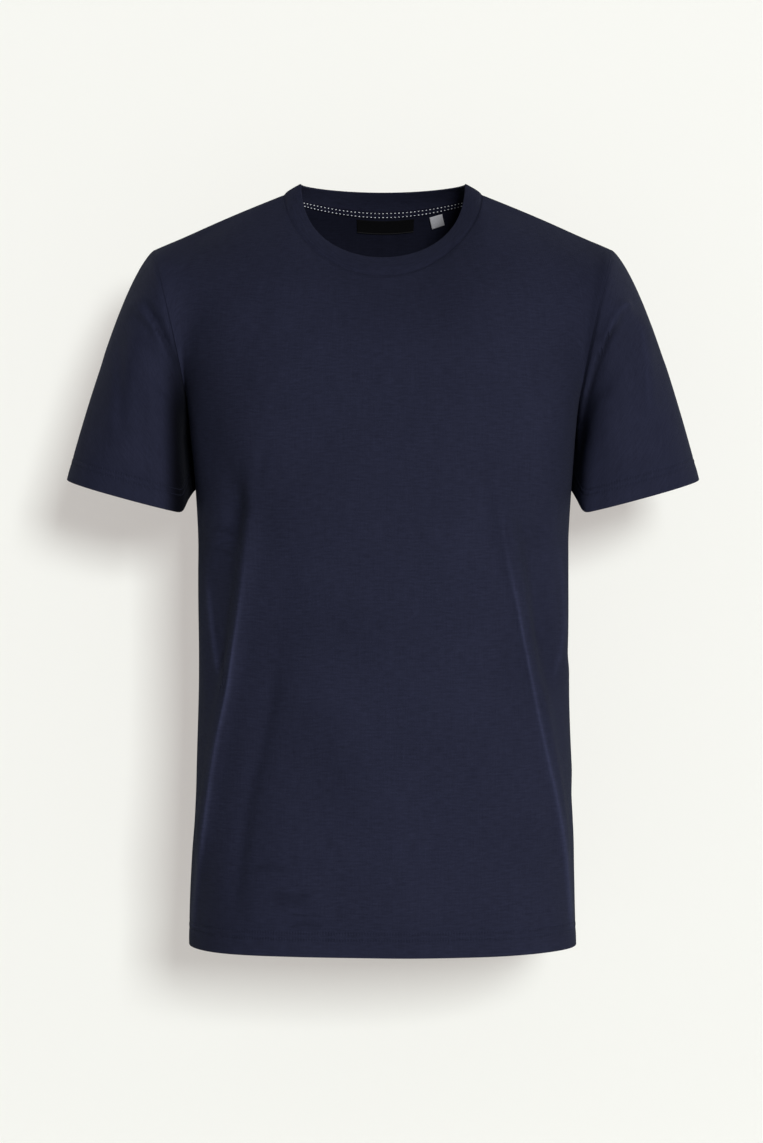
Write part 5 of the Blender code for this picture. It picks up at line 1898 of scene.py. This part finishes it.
OPERATORS = (
    TSHIRT_OT_panels,
    TSHIRT_OT_sleeves,
    TSHIRT_OT_collar,
    TSHIRT_OT_trim,
    TSHIRT_OT_stitches,
    TSHIRT_OT_stage,
)
SETTINGS = {"tshirt_cloth": ShirtCloth, "tshirt_stitches": ShirtStitches, "tshirt_stage": ShirtStage}


# ================================================================ studio
def paper_material(colour, glow):
    """Paper that glows a little towards the camera and can be seen through from behind."""
    values = {
        "Base Color": (*colour, 1),
        "Roughness": PAPER_ROUGHNESS,
        "Specular IOR Level": 0.0,
        "Emission Color": GLOW_COLOUR,
    }
    material, tree, shader = new_material("backdrop_paper", values)
    seen = add_node(tree, "ShaderNodeLightPath", output="Is Camera Ray")
    feed(shader.inputs["Emission Strength"], seen * glow)
    back = add_node(tree, "ShaderNodeNewGeometry", output="Backfacing")
    clear = add_node(tree, "ShaderNodeBsdfTransparent")
    mixed = add_node(tree, "ShaderNodeMixShader", {"Fac": back, 1: Value(shader.outputs[0]), 2: clear})
    feed(tree.nodes["Material Output"].inputs["Surface"], mixed)
    return material


def add_backdrop(colour, glow):
    """A floor that curves up into a wall behind the shirt."""
    turns = np.linspace(0, math.pi / 2, BEND_STEPS)
    profile = [(FLOOR_FRONT, FLOOR_HEIGHT)]
    profile += [
        (WALL_DEPTH - BEND + BEND * math.sin(t), FLOOR_HEIGHT + BEND - BEND * math.cos(t)) for t in turns
    ]
    profile += [(WALL_DEPTH, WALL_TOP)]
    points = [(x, y, z) for y, z in profile for x in (-HALF_WIDTH, HALF_WIDTH)]
    faces = [(2 * k, 2 * k + 1, 2 * k + 3, 2 * k + 2) for k in range(len(profile) - 1)]
    mesh = bpy.data.meshes.new("backdrop")
    mesh.from_pydata(points, [], faces)
    return add_mesh("backdrop", mesh, paper_material(colour, glow))


def add_world(fill):
    """Even light from all round, and plain colours in the picture."""
    world = bpy.data.worlds.new("pale_room")
    world.use_nodes = True
    background = world.node_tree.nodes["Background"]
    background.inputs["Color"].default_value = (1, 1, 1, 1)
    background.inputs["Strength"].default_value = fill
    bpy.context.scene.world = world
    bpy.context.scene.view_settings.view_transform = "Standard"


def add_light(light, power):
    """A soft rectangular light that faces its target."""
    data = bpy.data.lights.new(light.name, "AREA")
    data.shape = "RECTANGLE"
    data.size, data.size_y = light.size
    data.energy = power
    lamp = add_object(light.name, data)
    if light.shirt_only:
        lit = bpy.data.collections.get("lit_cloth") or bpy.data.collections.new("lit_cloth")
        for piece in PIECES:
            if piece.name not in lit.objects:
                lit.objects.link(piece)
        lamp.light_linking.receiver_collection = lit
    lamp.location = light.place
    lamp.rotation_euler = (Vector(light.target) - Vector(light.place)).to_track_quat("-Z", "Y").to_euler()


def add_camera():
    """A level camera that faces the front."""
    camera = bpy.data.cameras.new("camera")
    camera.sensor_fit = "VERTICAL"
    camera.sensor_height = CAMERA_SENSOR
    camera.lens = CAMERA_LENS
    camera.dof.use_dof = False
    holder = add_object("camera", camera)
    holder.location = CAMERA_PLACE
    holder.rotation_euler = (math.pi / 2, 0, 0)
    bpy.context.scene.camera = holder


# ================================================================ running it
def register():
    for group in SETTINGS.values():
        bpy.utils.register_class(group)
    for operator in OPERATORS:
        bpy.utils.register_class(operator)
    bpy.utils.register_class(TSHIRT_PT_pieces)
    for name, group in SETTINGS.items():
        setattr(bpy.types.Scene, name, PointerProperty(type=group))


def unregister():
    for name in SETTINGS:
        delattr(bpy.types.Scene, name)
    bpy.utils.unregister_class(TSHIRT_PT_pieces)
    for operator in reversed(OPERATORS):
        bpy.utils.unregister_class(operator)
    for group in SETTINGS.values():
        bpy.utils.unregister_class(group)


def main():
    register()
    bpy.ops.tshirt.panels()
    bpy.ops.tshirt.sleeves()
    bpy.ops.tshirt.collar()
    bpy.ops.tshirt.trim()
    bpy.ops.tshirt.stitches()
    bpy.ops.tshirt.stage()


if __name__ == "__main__":
    main()
